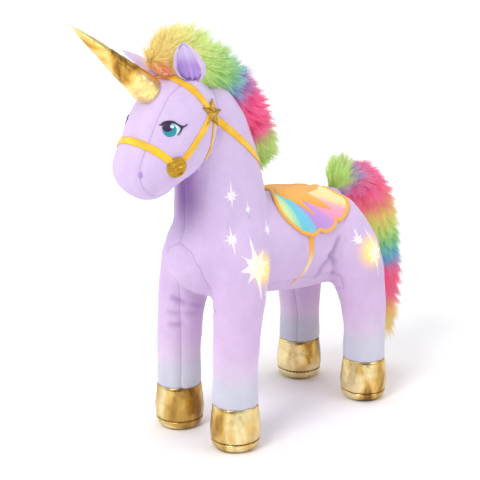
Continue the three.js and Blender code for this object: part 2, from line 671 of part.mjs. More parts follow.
addPiece("head_gusset", largest(headSkin.intersect(headStrip(0))), COLOURS.plush);
addPiece("underbody_gusset", largest(underbody.subtract(bellyDoor(0))), COLOURS.underside);
for (const [sideName, side] of Object.entries(SIDES)) {
  addPiece(`head_side_${sideName}`, largest(headSide(side)), COLOURS.plush);
  addPiece(`body_side_${sideName}`, largest(bodySide(side)), COLOURS.plush);
}
for (const l of LEGS) {
  addPiece(`hoof_upper_${l.name}`, atFoot(hoofUpper, l), COLOURS.gold, 0.35, 0.9);
  addPiece(`hoof_sole_${l.name}`, atFoot(hoofSole, l), COLOURS.gold, 0.4, 0.9);
  addPiece(`leg_filling_${l.name}`, largest(legFilling(l)), COLOURS.filling);
}
addPiece("body_filling", largest(bodyFilling), COLOURS.filling);
addPiece("head_filling", headFilling, COLOURS.filling);
addPiece("horn_cover", hornCover(), COLOURS.gold, 0.3, 0.9);
addPiece("horn_filling", hornFilling(), COLOURS.filling);
addPiece("mane", largest(mane), COLOURS.mane);
addPiece("tail", tail, COLOURS.tail);
addPiece("noseband", largest(noseband), COLOURS.ribbon, 0.6);
addPiece("browband", largest(browband), COLOURS.ribbon, 0.6);
addPiece("saddle", largest(saddle), COLOURS.wing, 0.7);
addPiece("battery_flap", largest(flap), COLOURS.underside);
addPiece("battery_case", batteryCase(), COLOURS.plastic, 0.5);
addPiece("battery_cover", batteryCover(), COLOURS.plastic, 0.5);
addPiece("cover_screw", coverScrew(), COLOURS.steel, 0.3, 1);
for (const number of [1, 2, 3]) addPiece(`battery_${number}`, cell(number - 2), COLOURS.cell, 0.4);
addPiece("push_button", button(), COLOURS.wire, 0.5);
addPiece("circuit_board", box([-16, -11, 142.6], [16, -1.5, 144.2]), COLOURS.board, 0.5);
addPiece("led_harness", harness(0), COLOURS.wire, 0.5);
for (const [sideName, side] of Object.entries(SIDES)) {
  addPiece(`ear_back_${sideName}`, largest(earBack(sideName)), COLOURS.plush);
  addPiece(`ear_lining_${sideName}`, largest(earLining(sideName)), COLOURS.lining, 0.5);
  addPiece(`cheek_strap_${sideName}`, largest(cheekStrap(side)), COLOURS.ribbon, 0.6);
  addPiece(`throat_strap_${sideName}`, largest(throatStrap(side)), COLOURS.ribbon, 0.6);
  addPiece(`rein_${sideName}`, largest(rein(side)), COLOURS.ribbon, 0.6);
  addPiece(`star_badge_${sideName}`, starBadge(side), COLOURS.gold, 0.3, 0.9);
  addPiece(`medallion_${sideName}`, medallion(side), COLOURS.gold, 0.3, 0.9);
  addPiece(`eye_${sideName}`, largest(eye(side)), COLOURS.eye, 0.5);
  addPiece(`girth_strap_${sideName}`, largest(girth(side)), COLOURS.wing, 0.7);
  addPiece(`led_chest_${sideName}`, ledAt("chest", side, 0), COLOURS.led, 0.2);
  addPiece(`led_hip_${sideName}`, ledAt("hip", side, 0), COLOURS.led, 0.2);
}

export default toy;
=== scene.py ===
import math

import bpy
import numpy as np
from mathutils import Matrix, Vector, noise
from mathutils.bvhtree import BVHTree
from mathutils.geometry import delaunay_2d_cdt


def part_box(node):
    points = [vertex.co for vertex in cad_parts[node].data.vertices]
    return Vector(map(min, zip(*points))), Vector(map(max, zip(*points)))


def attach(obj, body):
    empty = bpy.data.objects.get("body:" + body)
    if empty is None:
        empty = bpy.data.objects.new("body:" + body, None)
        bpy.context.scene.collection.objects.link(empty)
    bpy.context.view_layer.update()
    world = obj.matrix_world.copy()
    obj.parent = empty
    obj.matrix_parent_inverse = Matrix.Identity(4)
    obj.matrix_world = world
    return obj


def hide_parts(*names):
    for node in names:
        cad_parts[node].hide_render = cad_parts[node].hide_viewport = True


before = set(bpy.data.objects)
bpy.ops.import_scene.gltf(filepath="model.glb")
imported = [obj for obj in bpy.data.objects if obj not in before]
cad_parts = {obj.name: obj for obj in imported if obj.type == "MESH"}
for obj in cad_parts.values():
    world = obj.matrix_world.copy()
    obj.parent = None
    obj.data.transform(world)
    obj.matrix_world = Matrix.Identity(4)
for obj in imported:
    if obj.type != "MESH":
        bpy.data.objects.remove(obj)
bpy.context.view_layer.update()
random = np.random.default_rng(7)

MM = 0.001
front_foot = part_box("hoof_sole_front_left")
FRONT_Y = -72
SHIFT = (front_foot[0].y + front_foot[1].y) / 2 / MM - FRONT_Y
HOOF_TOP = 42
CUFF_EDGE = 42.3
LEGS = {
    "front_left": (37, FRONT_Y),
    "front_right": (-37, FRONT_Y),
    "hind_left": (43, 104),
    "hind_right": (-43, 104),
}
SIDES = {"left": 1, "right": -1}
GUSSET_HALF = 17
HORN_BASE, HORN_TIP, HORN_RADIUS = (0, -137, 326), (0, -211.5, 381), 12.6
TAIL_ROOT = (0, 112, 206)
EAR_BASE = (20, -104, 332.5)
EAR_TIPS = {"left": (31, -126, 367), "right": (-36, -135.6, 357)}
DOOR_HALF, DOOR_RUN, DOOR_CEILING = 20.5, (-17, 53), 150
FLAP = 6
LED_SPOTS = [(side * x, y, z) for side in (1, -1) for x, y, z in ((57, -52, 167), (59, 93, 155))]


def vec(*p):
    return np.array(p, float)


def unit(v):
    v = np.asarray(v, float)
    return v / np.linalg.norm(v)


def units(rows):
    """Each row at length one."""
    return rows / np.linalg.norm(rows, axis=1, keepdims=True)


def on_side(side, p):
    """A point or direction of the left side, carried to the side whose sign is given."""
    return vec(side * p[0], p[1], p[2])


def round_turn(sides):
    """The angles of even steps once round, from nought."""
    return [2 * math.pi * k / sides for k in range(sides)]


def frame_point(p):
    return Vector((p[0] * MM, (p[1] + SHIFT) * MM, p[2] * MM))


# ---------------------------------------------------------------- camera, floor and light
CAMERA_TARGET = Vector((0, -0.0197, 0.178))
CAMERA_AZIMUTH, CAMERA_ELEVATION = math.radians(44.4), math.radians(14.7)
CAMERA_DISTANCE, CAMERA_LENS = 1.106, 90.54
LAMP_TARGET = Vector((0, 0, 0.18))


def linked(name, data):
    ob = bpy.data.objects.new(name, data)
    bpy.context.scene.collection.objects.link(ob)
    return ob


def aimed(ob, place, target):
    """Puts a camera or lamp at place, looking at target."""
    ob.location = place
    ob.rotation_mode = "QUATERNION"
    ob.rotation_quaternion = (target - ob.location).to_track_quat("-Z", "Y")


def make_camera():
    data = bpy.data.cameras.new("camera")
    camera = linked("camera", data)
    flat, rise = math.cos(CAMERA_ELEVATION), math.sin(CAMERA_ELEVATION)
    back = Vector((math.sin(CAMERA_AZIMUTH) * flat, -math.cos(CAMERA_AZIMUTH) * flat, rise))
    aimed(camera, CAMERA_TARGET + back * CAMERA_DISTANCE, CAMERA_TARGET)
    data.lens, data.sensor_width = CAMERA_LENS, 36
    data.clip_start, data.clip_end = 0.01, 50
    bpy.context.scene.camera = camera


def make_lamp(name, place, size, energy, colour):
    data = bpy.data.lights.new(name, "AREA")
    data.shape, data.size, data.energy, data.color = "DISK", size, energy, colour
    aimed(linked(name, data), place, LAMP_TARGET)


MIRRORED_SIDE = (0.676, -0.691, 0.254)
PALE, DARK = 1.0, 0.1


def make_world():
    """A pale room with one dark patch, which the foil mirrors; the patch is fixed in the room."""
    world = bpy.data.worlds.new("studio")
    bpy.context.scene.world = world
    world.use_nodes = True
    nodes, links = world.node_tree.nodes, world.node_tree.links
    place = nodes.new("ShaderNodeTexCoord")
    side = nodes.new("ShaderNodeVectorMath")
    side.operation = "DOT_PRODUCT"
    side.inputs[1].default_value = MIRRORED_SIDE
    fade = nodes.new("ShaderNodeValToRGB")
    for element, position, level in zip(fade.color_ramp.elements, (0.78, 0.97), (PALE, DARK)):
        element.position, element.color = position, (0.97 * level, 0.975 * level, level, 1)
    links.new(place.outputs["Generated"], side.inputs[0])
    links.new(side.outputs["Value"], fade.inputs["Fac"])
    links.new(fade.outputs["Color"], nodes["Background"].inputs["Color"])
    nodes["Background"].inputs["Strength"].default_value = 0.62


make_camera()
make_lamp("key_light", (0.3, -1.4, 1.5), 0.8, 20, (1, 0.985, 0.97))
make_lamp("left_light", (-1.3, -0.7, 0.9), 1.2, 5, (0.97, 0.98, 1))
make_lamp("right_light", (1.4, 0.5, 1.1), 1.3, 7, (1, 0.98, 0.99))
make_lamp("top_light", (-0.2, 0.6, 1.8), 1.4, 9, (1, 1, 1))
make_world()
bpy.context.scene.view_settings.view_transform = "Standard"


# ---------------------------------------------------------------- shader kit
def linear(hex_colour):
    parts = [int(hex_colour[i : i + 2], 16) / 255 for i in (1, 3, 5)]
    return [c / 12.92 if c <= 0.04045 else ((c + 0.055) / 1.055) ** 2.4 for c in parts] + [1]


class Shader:
    """A material with one Principled shader, and short calls for the nodes that feed it."""

    def __init__(self, name, colour, roughness=0.8, **sockets):
        self.material = bpy.data.materials.new(name)
        self.material.use_nodes = True
        self.tree = self.material.node_tree
        self.main = self.tree.nodes["Principled BSDF"]
        self.set(self.main, "Base Color", linear(colour))
        self.set(self.main, "Roughness", roughness)
        for socket, value in sockets.items():
            self.set(self.main, socket.replace("_", " "), value)
        self.place = self.add("ShaderNodeTexCoord").outputs["Object"]

    def set(self, node, socket, value):
        if isinstance(value, bpy.types.NodeSocket):
            self.tree.links.new(value, node.inputs[socket])
        else:
            node.inputs[socket].default_value = value

    def add(self, kind, **values):
        node = self.tree.nodes.new(kind)
        for key, value in values.items():
            setattr(node, key, value)
        return node

    def node(self, kind, inputs, output=0, **values):
        node = self.add(kind, **values)
        for socket, value in inputs.items():
            self.set(node, socket, value)
        return node.outputs[output]

    def noise(self, scale, detail=2.0, vector=None, distortion=0.0):
        inputs = {"Vector": vector or self.place, "Scale": scale, "Detail": detail, "Distortion": distortion}
        return self.node("ShaderNodeTexNoise", inputs)

    def stretch(self, factors):
        return self.node("ShaderNodeMapping", {"Vector": self.place, "Scale": factors})

    def math(self, operation, a, b=0.0, c=0.0):
        return self.node("ShaderNodeMath", {0: a, 1: b, 2: c}, operation=operation)

    def ramp(self, factor, stops):
        node = self.add("ShaderNodeValToRGB")
        self.set(node, "Fac", factor)
        elements = node.color_ramp.elements
        for i, (position, colour) in enumerate(stops):
            element = elements[i] if i < 2 else elements.new(position)
            element.position = position
            element.color = linear(colour) if isinstance(colour, str) else (colour, colour, colour, 1)
        return node.outputs["Color"]

    def span(self, value, low, high, to_low=0.0, to_high=1.0):
        inputs = {"Value": value, "From Min": low, "From Max": high, "To Min": to_low, "To Max": to_high}
        return self.node("ShaderNodeMapRange", inputs, interpolation_type="SMOOTHSTEP")

    def mix(self, factor, a, b, blend="MIX"):
        node = self.add("ShaderNodeMix", data_type="RGBA", blend_type=blend)
        self.set(node, 0, factor)
        self.set(node, 6, a)
        self.set(node, 7, b)
        return node.outputs[2]

    def bump(self, height, strength, distance, normal=None):
        inputs = {"Height": height, "Strength": strength, "Distance": distance * MM}
        if normal:
            inputs["Normal"] = normal
        return self.node("ShaderNodeBump", inputs)

    def attribute(self, name, output="Fac"):
        node = self.add("ShaderNodeAttribute", attribute_name=name)
        return node.outputs[output]

    def height(self):
        return self.node("ShaderNodeSeparateXYZ", {0: self.place}, output=2)

    def glow(self, core, reach):
        """One near a light behind the cloth, falling to nought at reach (metres)."""
        total = None
        for spot in LED_SPOTS:
            away = self.add("ShaderNodeVectorMath", operation="DISTANCE")
            self.set(away, 0, self.place)
            self.set(away, 1, tuple(frame_point(spot)))
            near = self.span(away.outputs["Value"], core, reach, 1.0, 0.0)
            total = self.math("MAXIMUM", total, near) if total else near
        return total

    def colour(self, value):
        self.set(self.main, "Base Color", value)

    def shine(self, value, strength):
        self.set(self.main, "Emission Color", value)
        self.set(self.main, "Emission Strength", strength)

    def relief(self, normal):
        self.set(self.main, "Normal", normal)
        return self.material


DYE_HEIGHT = 0.4
PLUSH_DYE = [
    (0.0, "#D0D2DF"),
    (0.15, "#D2D2E1"),
    (0.185, "#E0CCE7"),
    (0.235, "#DDC0E6"),
    (0.33, "#D7BBE2"),
    (0.45, "#D5BDE4"),
    (1.0, "#D8C4E9"),
]
SEAM_LINES = ("line_a", "line_b", "line_c")


def plush_material():
    """Short-pile plush: sheen, fibre bump, mottling, a dyed cuff, painted shade along the seams, in the folds
    and on the neck under the head, and the glow of the lights behind it.
    """
    s = Shader("plush", "#D8C2E8", 0.85, Sheen_Weight=0.4, Sheen_Roughness=0.45, Sheen_Tint=linear("#F0E8FA"))
    wander = s.math("MULTIPLY_ADD", s.noise(22, 3), 0.016, -0.008)
    dyed = s.ramp(s.math("DIVIDE", s.math("ADD", s.height(), wander), DYE_HEIGHT), PLUSH_DYE)
    mottle = s.ramp(s.noise(60, 4), [(0.3, 0.93), (0.7, 1.0)])
    coloured = s.mix(1.0, dyed, mottle, "MULTIPLY")
    nap = s.ramp(s.noise(1400, 3), [(0.35, 0.9), (0.65, 1.0)])
    coloured = s.mix(1.0, coloured, nap, "MULTIPLY")
    # painted shade: the plush is darkened near its seams, standing in for the shade that falls in the seam
    # valleys
    lines = [s.math("ABSOLUTE", s.attribute(line)) for line in SEAM_LINES]
    nearest = s.math("MINIMUM", s.math("MINIMUM", lines[0], lines[1]), lines[2])
    seam = s.ramp(s.span(nearest, 0.1, 0.75), [(0.0, "#B9A3CC"), (1.0, "#FFFFFF")])
    coloured = s.mix(0.42, coloured, seam, "MULTIPLY")
    # painted shade: darker in the creases and on the neck under the head, where shade falls; the fold
    # attribute gives how much
    fold = s.ramp(s.attribute("fold"), [(0.0, "#FFFFFF"), (1.0, "#A47FB6")])
    coloured = s.mix(1.0, coloured, fold, "MULTIPLY")
    glow = s.glow(0.004, 0.022)
    s.colour(s.mix(glow, coloured, linear("#FFD47A")))
    s.shine(s.ramp(glow, [(0.0, "#000000"), (0.45, "#6B4310"), (1.0, "#E8B24C")]), 0.5)
    pile = s.bump(s.noise(1500, 2), 0.35, 0.35)
    return s.relief(s.bump(s.noise(260, 3), 0.25, 0.5, pile))


def foil_material(name, light, colour, deep, stretch, crackle, relief):
    """Metallic foil cloth: long dark and light streaks, a fine crackle and soft crumples."""
    s = Shader(name, colour, 0.3, Metallic=1.0)
    streaks = s.noise(24, 3, s.stretch(stretch), 0.8)
    tone = s.ramp(streaks, [(0.33, deep), (0.45, colour), (0.58, light)])
    crackles = s.node(
        "ShaderNodeTexVoronoi",
        {"Vector": s.place, "Scale": crackle, "Randomness": 1.0},
        feature="DISTANCE_TO_EDGE",
    )
    crack = s.span(crackles, 0.0, 0.1)
    worn = s.span(s.noise(70, 3), 0.45, 0.62)
    depth = s.math("MULTIPLY", s.math("SUBTRACT", 1.0, crack), worn)
    s.colour(s.mix(s.math("MULTIPLY", depth, 0.45), tone, linear(deep)))
    s.set(s.main, "Roughness", s.span(depth, 0, 1, 0.27, 0.5))
    creases = s.bump(s.math("MULTIPLY", depth, -1.0), 0.3, 0.2)
    return s.relief(s.bump(s.noise(150, 3, distortion=0.6), relief, 0.8, creases))


def satin_material(name, colour, dark):
    """Woven satin ribbon: fine cross weave on the strip's own run and width."""
    s = Shader(name, colour, 0.42, Sheen_Weight=0.25, Specular_IOR_Level=0.45)
    run = s.add("ShaderNodeUVMap").outputs[0]
    u = s.node("ShaderNodeSeparateXYZ", {0: run}, output=0)
    v = s.node("ShaderNodeSeparateXYZ", {0: run}, output=1)
    weft = s.math("SINE", s.math("MULTIPLY", v, 2 * math.pi / 0.55))
    warp = s.math("SINE", s.math("MULTIPLY", u, 2 * math.pi / 0.4))
    weave = s.math("MULTIPLY", weft, warp)
    edge = s.span(s.math("ABSOLUTE", u), 2.45, 2.75)
    tone = s.ramp(s.noise(90, 3), [(0.3, dark), (0.65, colour)])
    s.colour(s.mix(s.math("MULTIPLY", edge, 0.45), tone, linear(dark)))
    s.set(s.main, "Roughness", s.span(edge, 0, 1, 0.42, 0.6))
    return s.relief(s.bump(s.math("ADD", weave, s.math("MULTIPLY", edge, 1.2)), 0.25, 0.12))


def lining_material():
    s = Shader("lilac_satin", "#C5A4E8", 0.36, Sheen_Weight=0.3, Specular_IOR_Level=0.6)
    tone = s.ramp(s.noise(55, 3), [(0.3, "#A57FD6"), (0.7, "#BC9BE6")])
    # painted highlight: the upper part of the lining is lighter, standing in for the light that the satin
    # catches at the top
    upper = s.span(s.height(), 0.344, 0.356)
    s.colour(s.mix(upper, tone, linear("#D9C8F2")))
    return s.relief(s.bump(s.noise(900, 2), 0.12, 0.1))


def brushed_material(name, colour, dark):
    s = Shader(name, colour, 0.38, Metallic=0.9)
    lines = s.noise(240, 3, s.stretch((1, 1, 7)))
    s.colour(s.ramp(lines, [(0.3, dark), (0.65, colour)]))
    s.set(s.main, "Roughness", s.ramp(lines, [(0.3, 0.5), (0.7, 0.3)]))
    return s.relief(s.bump(lines, 0.3, 0.25))


def fur_material():
    s = Shader("long_fur", "#E8588F", 0.62, Sheen_Weight=0.35, Sheen_Roughness=0.4)
    tint = s.attribute("tint", "Color")
    shade = s.ramp(s.noise(500, 2), [(0.3, 0.86), (0.7, 1.0)])
    dyed = s.mix(1.0, tint, shade, "MULTIPLY")
    s.colour(dyed)
    # painted light: the fur also glows in its own colour, lifting it where the strands shade each other
    s.shine(dyed, 0.34)
    through = s.add("ShaderNodeBsdfTranslucent")
    s.set(through, "Color", dyed)
    both = s.add("ShaderNodeMixShader")
    s.set(both, "Fac", 0.35)
    s.tree.links.new(s.main.outputs[0], both.inputs[1])
    s.tree.links.new(through.outputs[0], both.inputs[2])
    s.tree.links.new(both.outputs[0], s.tree.nodes["Material Output"].inputs["Surface"])
    return s.material


def printed_material():
    """Printed and stitched cloth whose colour is carried by the piece."""
    s = Shader("printed_cloth", "#F2A93B", 0.6, Sheen_Weight=0.3, Sheen_Roughness=0.5)
    tint = s.attribute("tint", "Color")
    s.colour(s.mix(1.0, tint, s.ramp(s.noise(700, 3), [(0.3, 0.9), (0.7, 1.0)]), "MULTIPLY"))
    threads = s.noise(420, 2, s.stretch((1, 3.5, 3.5)))
    return s.relief(s.bump(threads, 0.3, 0.18))


def thread_material(name, colour, dark, direction=(6, 1, 1)):
    """Satin-stitched embroidery: fine parallel threads."""
    s = Shader(name, colour, 0.45, Sheen_Weight=0.2)
    threads = s.noise(520, 1, s.stretch(direction))
    s.colour(s.ramp(threads, [(0.35, dark), (0.6, colour)]))
    return s.relief(s.bump(threads, 0.5, 0.2))


def star_material():
    """White foil print on the plush, warm where a light shines through it."""
    s = Shader("star_print", "#EDE6F4", 0.6, Sheen_Weight=0.2)
    glow = s.glow(0.004, 0.028)
    printed = s.ramp(s.noise(600, 3), [(0.3, "#E4DAEE"), (0.65, "#F0EAF6")])
    s.colour(s.mix(glow, printed, linear("#FFEEC4")))
    s.shine(s.ramp(glow, [(0.0, "#000000"), (0.45, "#5C4A2C"), (1.0, "#F4D294")]), 0.42)
    return s.relief(s.bump(s.noise(900, 2), 0.15, 0.15))


def plain_material(name, colour, dark, roughness, metallic=0.0, scale=300, relief=0.1):
    s = Shader(name, colour, roughness, Metallic=metallic)
    grain = s.noise(scale, 3)
    s.colour(s.ramp(grain, [(0.3, dark), (0.7, colour)]))
    s.set(s.main, "Roughness", s.ramp(grain, [(0.3, min(roughness + 0.1, 1)), (0.7, roughness)]))
    return s.relief(s.bump(grain, relief, 0.15))


PLUSH = plush_material()
HOOF_FOIL = foil_material("hoof_foil", "#F3E0A8", "#DDB662", "#8C6430", (1.5, 1.5, 0.45), 900, 0.3)
HORN_FOIL = foil_material("horn_foil", "#FBE596", "#E3B450", "#80562A", (2.2, 1.1, 1.1), 700, 0.4)
RIBBON = satin_material("yellow_ribbon", "#F8C80F", "#E3A906")
LINING = lining_material()
STAR_GOLD = brushed_material("star_gold", "#C9A13F", "#8E6B26")
MEDAL_GOLD = brushed_material("medallion_gold", "#D8AC3C", "#9A7324")
FUR = fur_material()
PRINTED = printed_material()
LID = thread_material("lid_thread", "#34104F", "#1E0630")
IRIS = thread_material("iris_thread", "#1F98A8", "#127180", (1, 1, 6))
EYE_WHITE = thread_material("eye_white_thread", "#D6EBF2", "#A9D5E2", (1, 1, 5))
NOSTRIL = thread_material("nostril_thread", "#8A5FA6", "#6E4590")
NOSTRIL_RIM = thread_material("nostril_rim_thread", "#B394CE", "#9F7FBE")
STITCH = thread_material("stitch_thread", "#B08A48", "#8E6B34")
STAR_PRINT = star_material()
FILLING = plain_material("fibre_filling", "#F6F4F0", "#E2DED6", 0.95, scale=120, relief=0.8)
PLASTIC = plain_material("white_plastic", "#F0F0EC", "#E4E4DF", 0.42)
BUTTON = plain_material("button_plastic", "#D8505A", "#C24650", 0.35)
CELL = plain_material("cell_sleeve", "#3D7A4A", "#2F6339", 0.35)
STEEL = plain_material("steel", "#C4C7CB", "#9EA2A8", 0.3, 1.0)
BOARD = plain_material("circuit_board", "#2E7D46", "#1F6034", 0.4)
LAMP = plain_material("lamp_lens", "#FFF6D0", "#FFE9A0", 0.15)
WIRE = plain_material("wire_sleeve", "#C23B3B", "#A83030", 0.45)


# ---------------------------------------------------------------- mesh kit
def smooth(mesh):
    mesh.polygons.foreach_set("use_smooth", np.ones(len(mesh.polygons), bool))
    return mesh


def mesh_of(name, verts, faces):
    """A smooth-shaded mesh from points in the toy's numbers; faces is an array of equal faces, or a list."""
    mesh = bpy.data.meshes.new(name)
    co = (np.asarray(verts, float) + (0, SHIFT, 0)) * MM
    if isinstance(faces, np.ndarray):
        count, corners = faces.shape
        mesh.vertices.add(len(co))
        mesh.vertices.foreach_set("co", co.astype(np.float32).ravel())
        mesh.loops.add(count * corners)
        mesh.loops.foreach_set("vertex_index", faces.astype(np.int32).ravel())
        mesh.polygons.add(count)
        mesh.polygons.foreach_set("loop_start", np.arange(0, count * corners, corners, dtype=np.int32))
        mesh.update(calc_edges=True)
    else:
        mesh.from_pydata([tuple(v) for v in co], [], [tuple(int(i) for i in f) for f in faces])
    return smooth(mesh)


def piece(name, mesh, material, body, slot, *replaced, padded=None):
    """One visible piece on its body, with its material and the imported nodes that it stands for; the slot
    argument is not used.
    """
    ob = linked(name, mesh)
    for each in material if isinstance(material, list) else [material]:
        mesh.materials.append(each)
    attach(ob, body)
    if replaced:
        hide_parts(*replaced)


def tube_faces(rows, sides, closed=False, start=0):
    """Faces between rings of equal points; closed joins the last ring to the first."""
    faces = []
    for row in range(rows if closed else rows - 1):
        here, there = start + row * sides, start + (row + 1) % rows * sides
        for k in range(sides):
            after = (k + 1) % sides
            faces.append([here + k, here + after, there + after, there + k])
    return faces


def caps(rows, sides, start=0):
    """The two end faces of a tube."""
    last = start + (rows - 1) * sides
    return [[start + k for k in range(sides)][::-1], [last + k for k in range(sides)]]


def numbers(items, key, width, kind=np.float32):
    """One row of width numbers for each item of a mesh."""
    out = np.empty(len(items) * width, kind)
    items.foreach_get(key, out)
    return out.reshape(-1, width)


def coordinates(mesh):
    return numbers(mesh.vertices, "co", 3).astype(float) / MM - (0, SHIFT, 0)


def normals_of(mesh):
    return numbers(mesh.vertices, "normal", 3).astype(float)


def corners_of(mesh):
    """The three corners of each triangle of a mesh, as three arrays of points."""
    mesh.calc_loop_triangles()
    co = coordinates(mesh)
    return np.moveaxis(co[[t.vertices[:] for t in mesh.loop_triangles]], 1, 0)


def set_coordinates(mesh, co):
    mesh.vertices.foreach_set("co", ((co + (0, SHIFT, 0)) * MM).astype(np.float32).ravel())
    mesh.update()


def relax(mesh, rounds):
    """Smooths a mesh without shrinking it: points move towards their neighbours, then back out."""
    co, edges = coordinates(mesh), numbers(mesh.edges, "vertices", 2, np.int32)
    count = np.maximum(np.bincount(edges.ravel(), minlength=len(co)), 1)[:, None]
    a, b = edges[:, 0], edges[:, 1]
    for share in (0.5, -0.52) * rounds:
        total = [np.bincount(a, co[b, k], len(co)) + np.bincount(b, co[a, k], len(co)) for k in range(3)]
        co = co + share * (np.stack(total, 1) / count - co)
    set_coordinates(mesh, co)


def evaluated(ob):
    depsgraph = bpy.context.evaluated_depsgraph_get()
    return bpy.data.meshes.new_from_object(ob.evaluated_get(depsgraph))


def soup(names, balls=()):
    """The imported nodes' triangles, with plug balls, as points and faces."""
    verts, faces = [], []
    for name in names:
        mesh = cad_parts[name].data
        mesh.calc_loop_triangles()
        start = len(verts)
        verts.extend(coordinates(mesh))
        faces.extend([[start + i for i in t.vertices] for t in mesh.loop_triangles])
    for centre, radius in balls:
        start, rows, sides = len(verts), 10, 16
        for r in range(rows + 1):
            polar = math.pi * r / rows
            for turn in round_turn(sides):
                flat = math.sin(polar)
                spot = vec(flat * math.cos(turn), flat * math.sin(turn), math.cos(polar))
                verts.append(centre + radius * spot)
        for r in range(rows):
            for k in range(sides):
                a, b = start + r * sides + k, start + r * sides + (k + 1) % sides
                faces.append([a, a + sides, b + sides, b])
    return verts, faces


def remeshed(names, voxel, balls=(), rounds=4):
    """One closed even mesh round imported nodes, smoothed."""
    ob = linked("soup", mesh_of("soup", *soup(names, balls)))
    modifier = ob.modifiers.new("even", "REMESH")
    modifier.mode, modifier.voxel_size = "VOXEL", voxel * MM
    mesh = evaluated(ob)
    bpy.data.objects.remove(ob)
    relax(mesh, rounds)
    return mesh


def subdivided(mesh):
    ob = linked("finer", mesh)
    ob.modifiers.new("finer", "SUBSURF").levels = 1
    made = evaluated(ob)
    bpy.data.objects.remove(ob)
    return smooth(made)


def wobble(points, size, seed=0.0):
    """Smooth noise from -1 to 1 at each point; size is the feature size."""
    start = Vector((seed, seed, seed))
    return np.array([noise.noise(Vector(p / size) + start) for p in np.asarray(points)])


def tree_of(mesh):
    mesh.calc_loop_triangles()
    triangles = [tuple(t.vertices) for t in mesh.loop_triangles]
    return BVHTree.FromPolygons([Vector(c) for c in coordinates(mesh)], triangles)


def set_attribute(mesh, name, values):
    attribute = mesh.attributes.new(name, "FLOAT", "POINT")
    attribute.data.foreach_set("value", np.asarray(values, np.float32))


def set_tint(mesh, colours):
    attribute = mesh.attributes.new("tint", "FLOAT_COLOR", "POINT")
    full = np.ones((len(colours), 4), np.float32)
    full[:, :3] = colours
    attribute.data.foreach_set("color", full.ravel())


def sweep_by_ramp(position, stops):
    """Colours between stops of (position, hex colour), as linear values."""
    places = [p for p, _ in stops]
    table = np.array([linear(c)[:3] for _, c in stops])
    return np.stack([np.interp(position, places, table[:, k]) for k in range(3)], -1)


# ---------------------------------------------------------------- the plush skin
HEAD_PANELS = ["head_gusset", "head_side_left", "head_side_right"]
BODY_PANELS = ["underbody_gusset", "body_side_left", "body_side_right"]
FILLINGS = ["body_filling", "head_filling"] + ["leg_filling_" + leg for leg in LEGS]
horn_axis = unit(np.subtract(HORN_TIP, HORN_BASE))

CHEST_HALF, REAR_HALF, BELLY_HALF = 22, 32, 42
CHEST_SEAM = [(0, 190), (14, 183), (CHEST_HALF, 170)]
REAR_SEAM = [(0, 188), (REAR_HALF, 138)]
BELLY_SEAM = [(0, 172), (BELLY_HALF, 129)]
CHEST_BACK, REAR_FRONT, BELLY_RUN, BELLY_FLOOR = -20, 50, (-60, 80), 118
CLEAR_OF_SEAMS = 30


def edge_depth(x, z, a, b):
    """How far points lie below the line from a to b, which runs down and outwards."""
    run = unit([b[0] - a[0], b[1] - a[1]])
    return (x - a[0]) * run[1] - (z - a[1]) * run[0]


def underbody_depth(co):
    """How far a point is inside the cloth between the legs; the seam is where this is nought."""
    x, y, z = np.abs(co[:, 0]), co[:, 1], co[:, 2]
    upper, lower = (edge_depth(x, z, *pair) for pair in zip(CHEST_SEAM, CHEST_SEAM[1:]))
    chest = np.minimum.reduce([upper, lower, CHEST_HALF - x, CHEST_BACK - y])
    rear = np.minimum.reduce([edge_depth(x, z, *REAR_SEAM), REAR_HALF - x, y - REAR_FRONT])
    under = [edge_depth(x, z, *BELLY_SEAM), BELLY_HALF - x, y - BELLY_RUN[0], BELLY_RUN[1] - y]
    belly = np.minimum.reduce(under + [z - BELLY_FLOOR])
    return np.maximum.reduce([chest, rear, belly])


def distances(tree, co):
    return np.array([tree.find_nearest(Vector(p))[3] for p in co])


def seam_fields(co, head_share):
    """Signed distances to the seams that bound each point's panel, and that panel's number."""
    x, depth = co[:, 0], underbody_depth(co)
    on_head = head_share < 0
    gusset = np.abs(x) - GUSSET_HALF
    under = depth > 0
    side = np.where(x > 0, 1, 2)
    panel = np.where(on_head, np.where(gusset < 0, 0, side), np.where(under, 3, side + 3))
    middle = np.where(on_head | under, CLEAR_OF_SEAMS, x)
    lines = np.stack([np.where(on_head, gusset, depth), head_share, middle])
    return lines, panel


def line_distance(co, points):
    best = np.full(len(co), 1e9)
    for a, b in zip(points, points[1:]):
        a, b = vec(*a), vec(*b)
        run = b - a
        t = np.clip((co - a) @ run / (run @ run), 0, 1)
        best = np.minimum(best, np.linalg.norm(co - a - t[:, None] * run, axis=1))
    return best


SWELL, STEPS = 3.2, 20


def inflate(mesh, pinned):
    """Cloth under pressure, held at its seams; a point may move at most SWELL."""
    start = coordinates(mesh)
    set_coordinates(mesh, start - normals_of(mesh) * 0.6 * np.clip((start[:, 2:] - 50) / 15, 0, 1))
    ob = linked("cloth", mesh)
    group = ob.vertex_groups.new(name="pin")
    group.add([int(i) for i in np.flatnonzero(pinned)], 1.0, "REPLACE")
    cloth = ob.modifiers.new("cloth", "CLOTH")
    settings = cloth.settings
    settings.quality, settings.mass = 5, 0.25
    settings.tension_stiffness = settings.compression_stiffness = 12
    settings.shear_stiffness, settings.bending_stiffness = 4, 0.6
    settings.use_pressure, settings.uniform_pressure_force = True, 4
    settings.effector_weights.gravity = 0
    settings.vertex_group_mass = "pin"
    cloth.collision_settings.use_collision = False
    scene = bpy.context.scene
    scene.frame_start, scene.frame_end = 1, STEPS
    for step in range(1, STEPS + 1):
        scene.frame_set(step)
    moved = coordinates(evaluated(ob))
    scene.frame_set(1)
    bpy.data.objects.remove(ob)
    step = moved - start
    far = np.linalg.norm(step, axis=1, keepdims=True)
    step *= np.minimum(1, SWELL / np.maximum(far, 1e-6))
    return start + step


SKIN_VOXEL = 4.2
EAR_PLUGS = [(20, -103, 326.5), (14, -103, 326.5)]


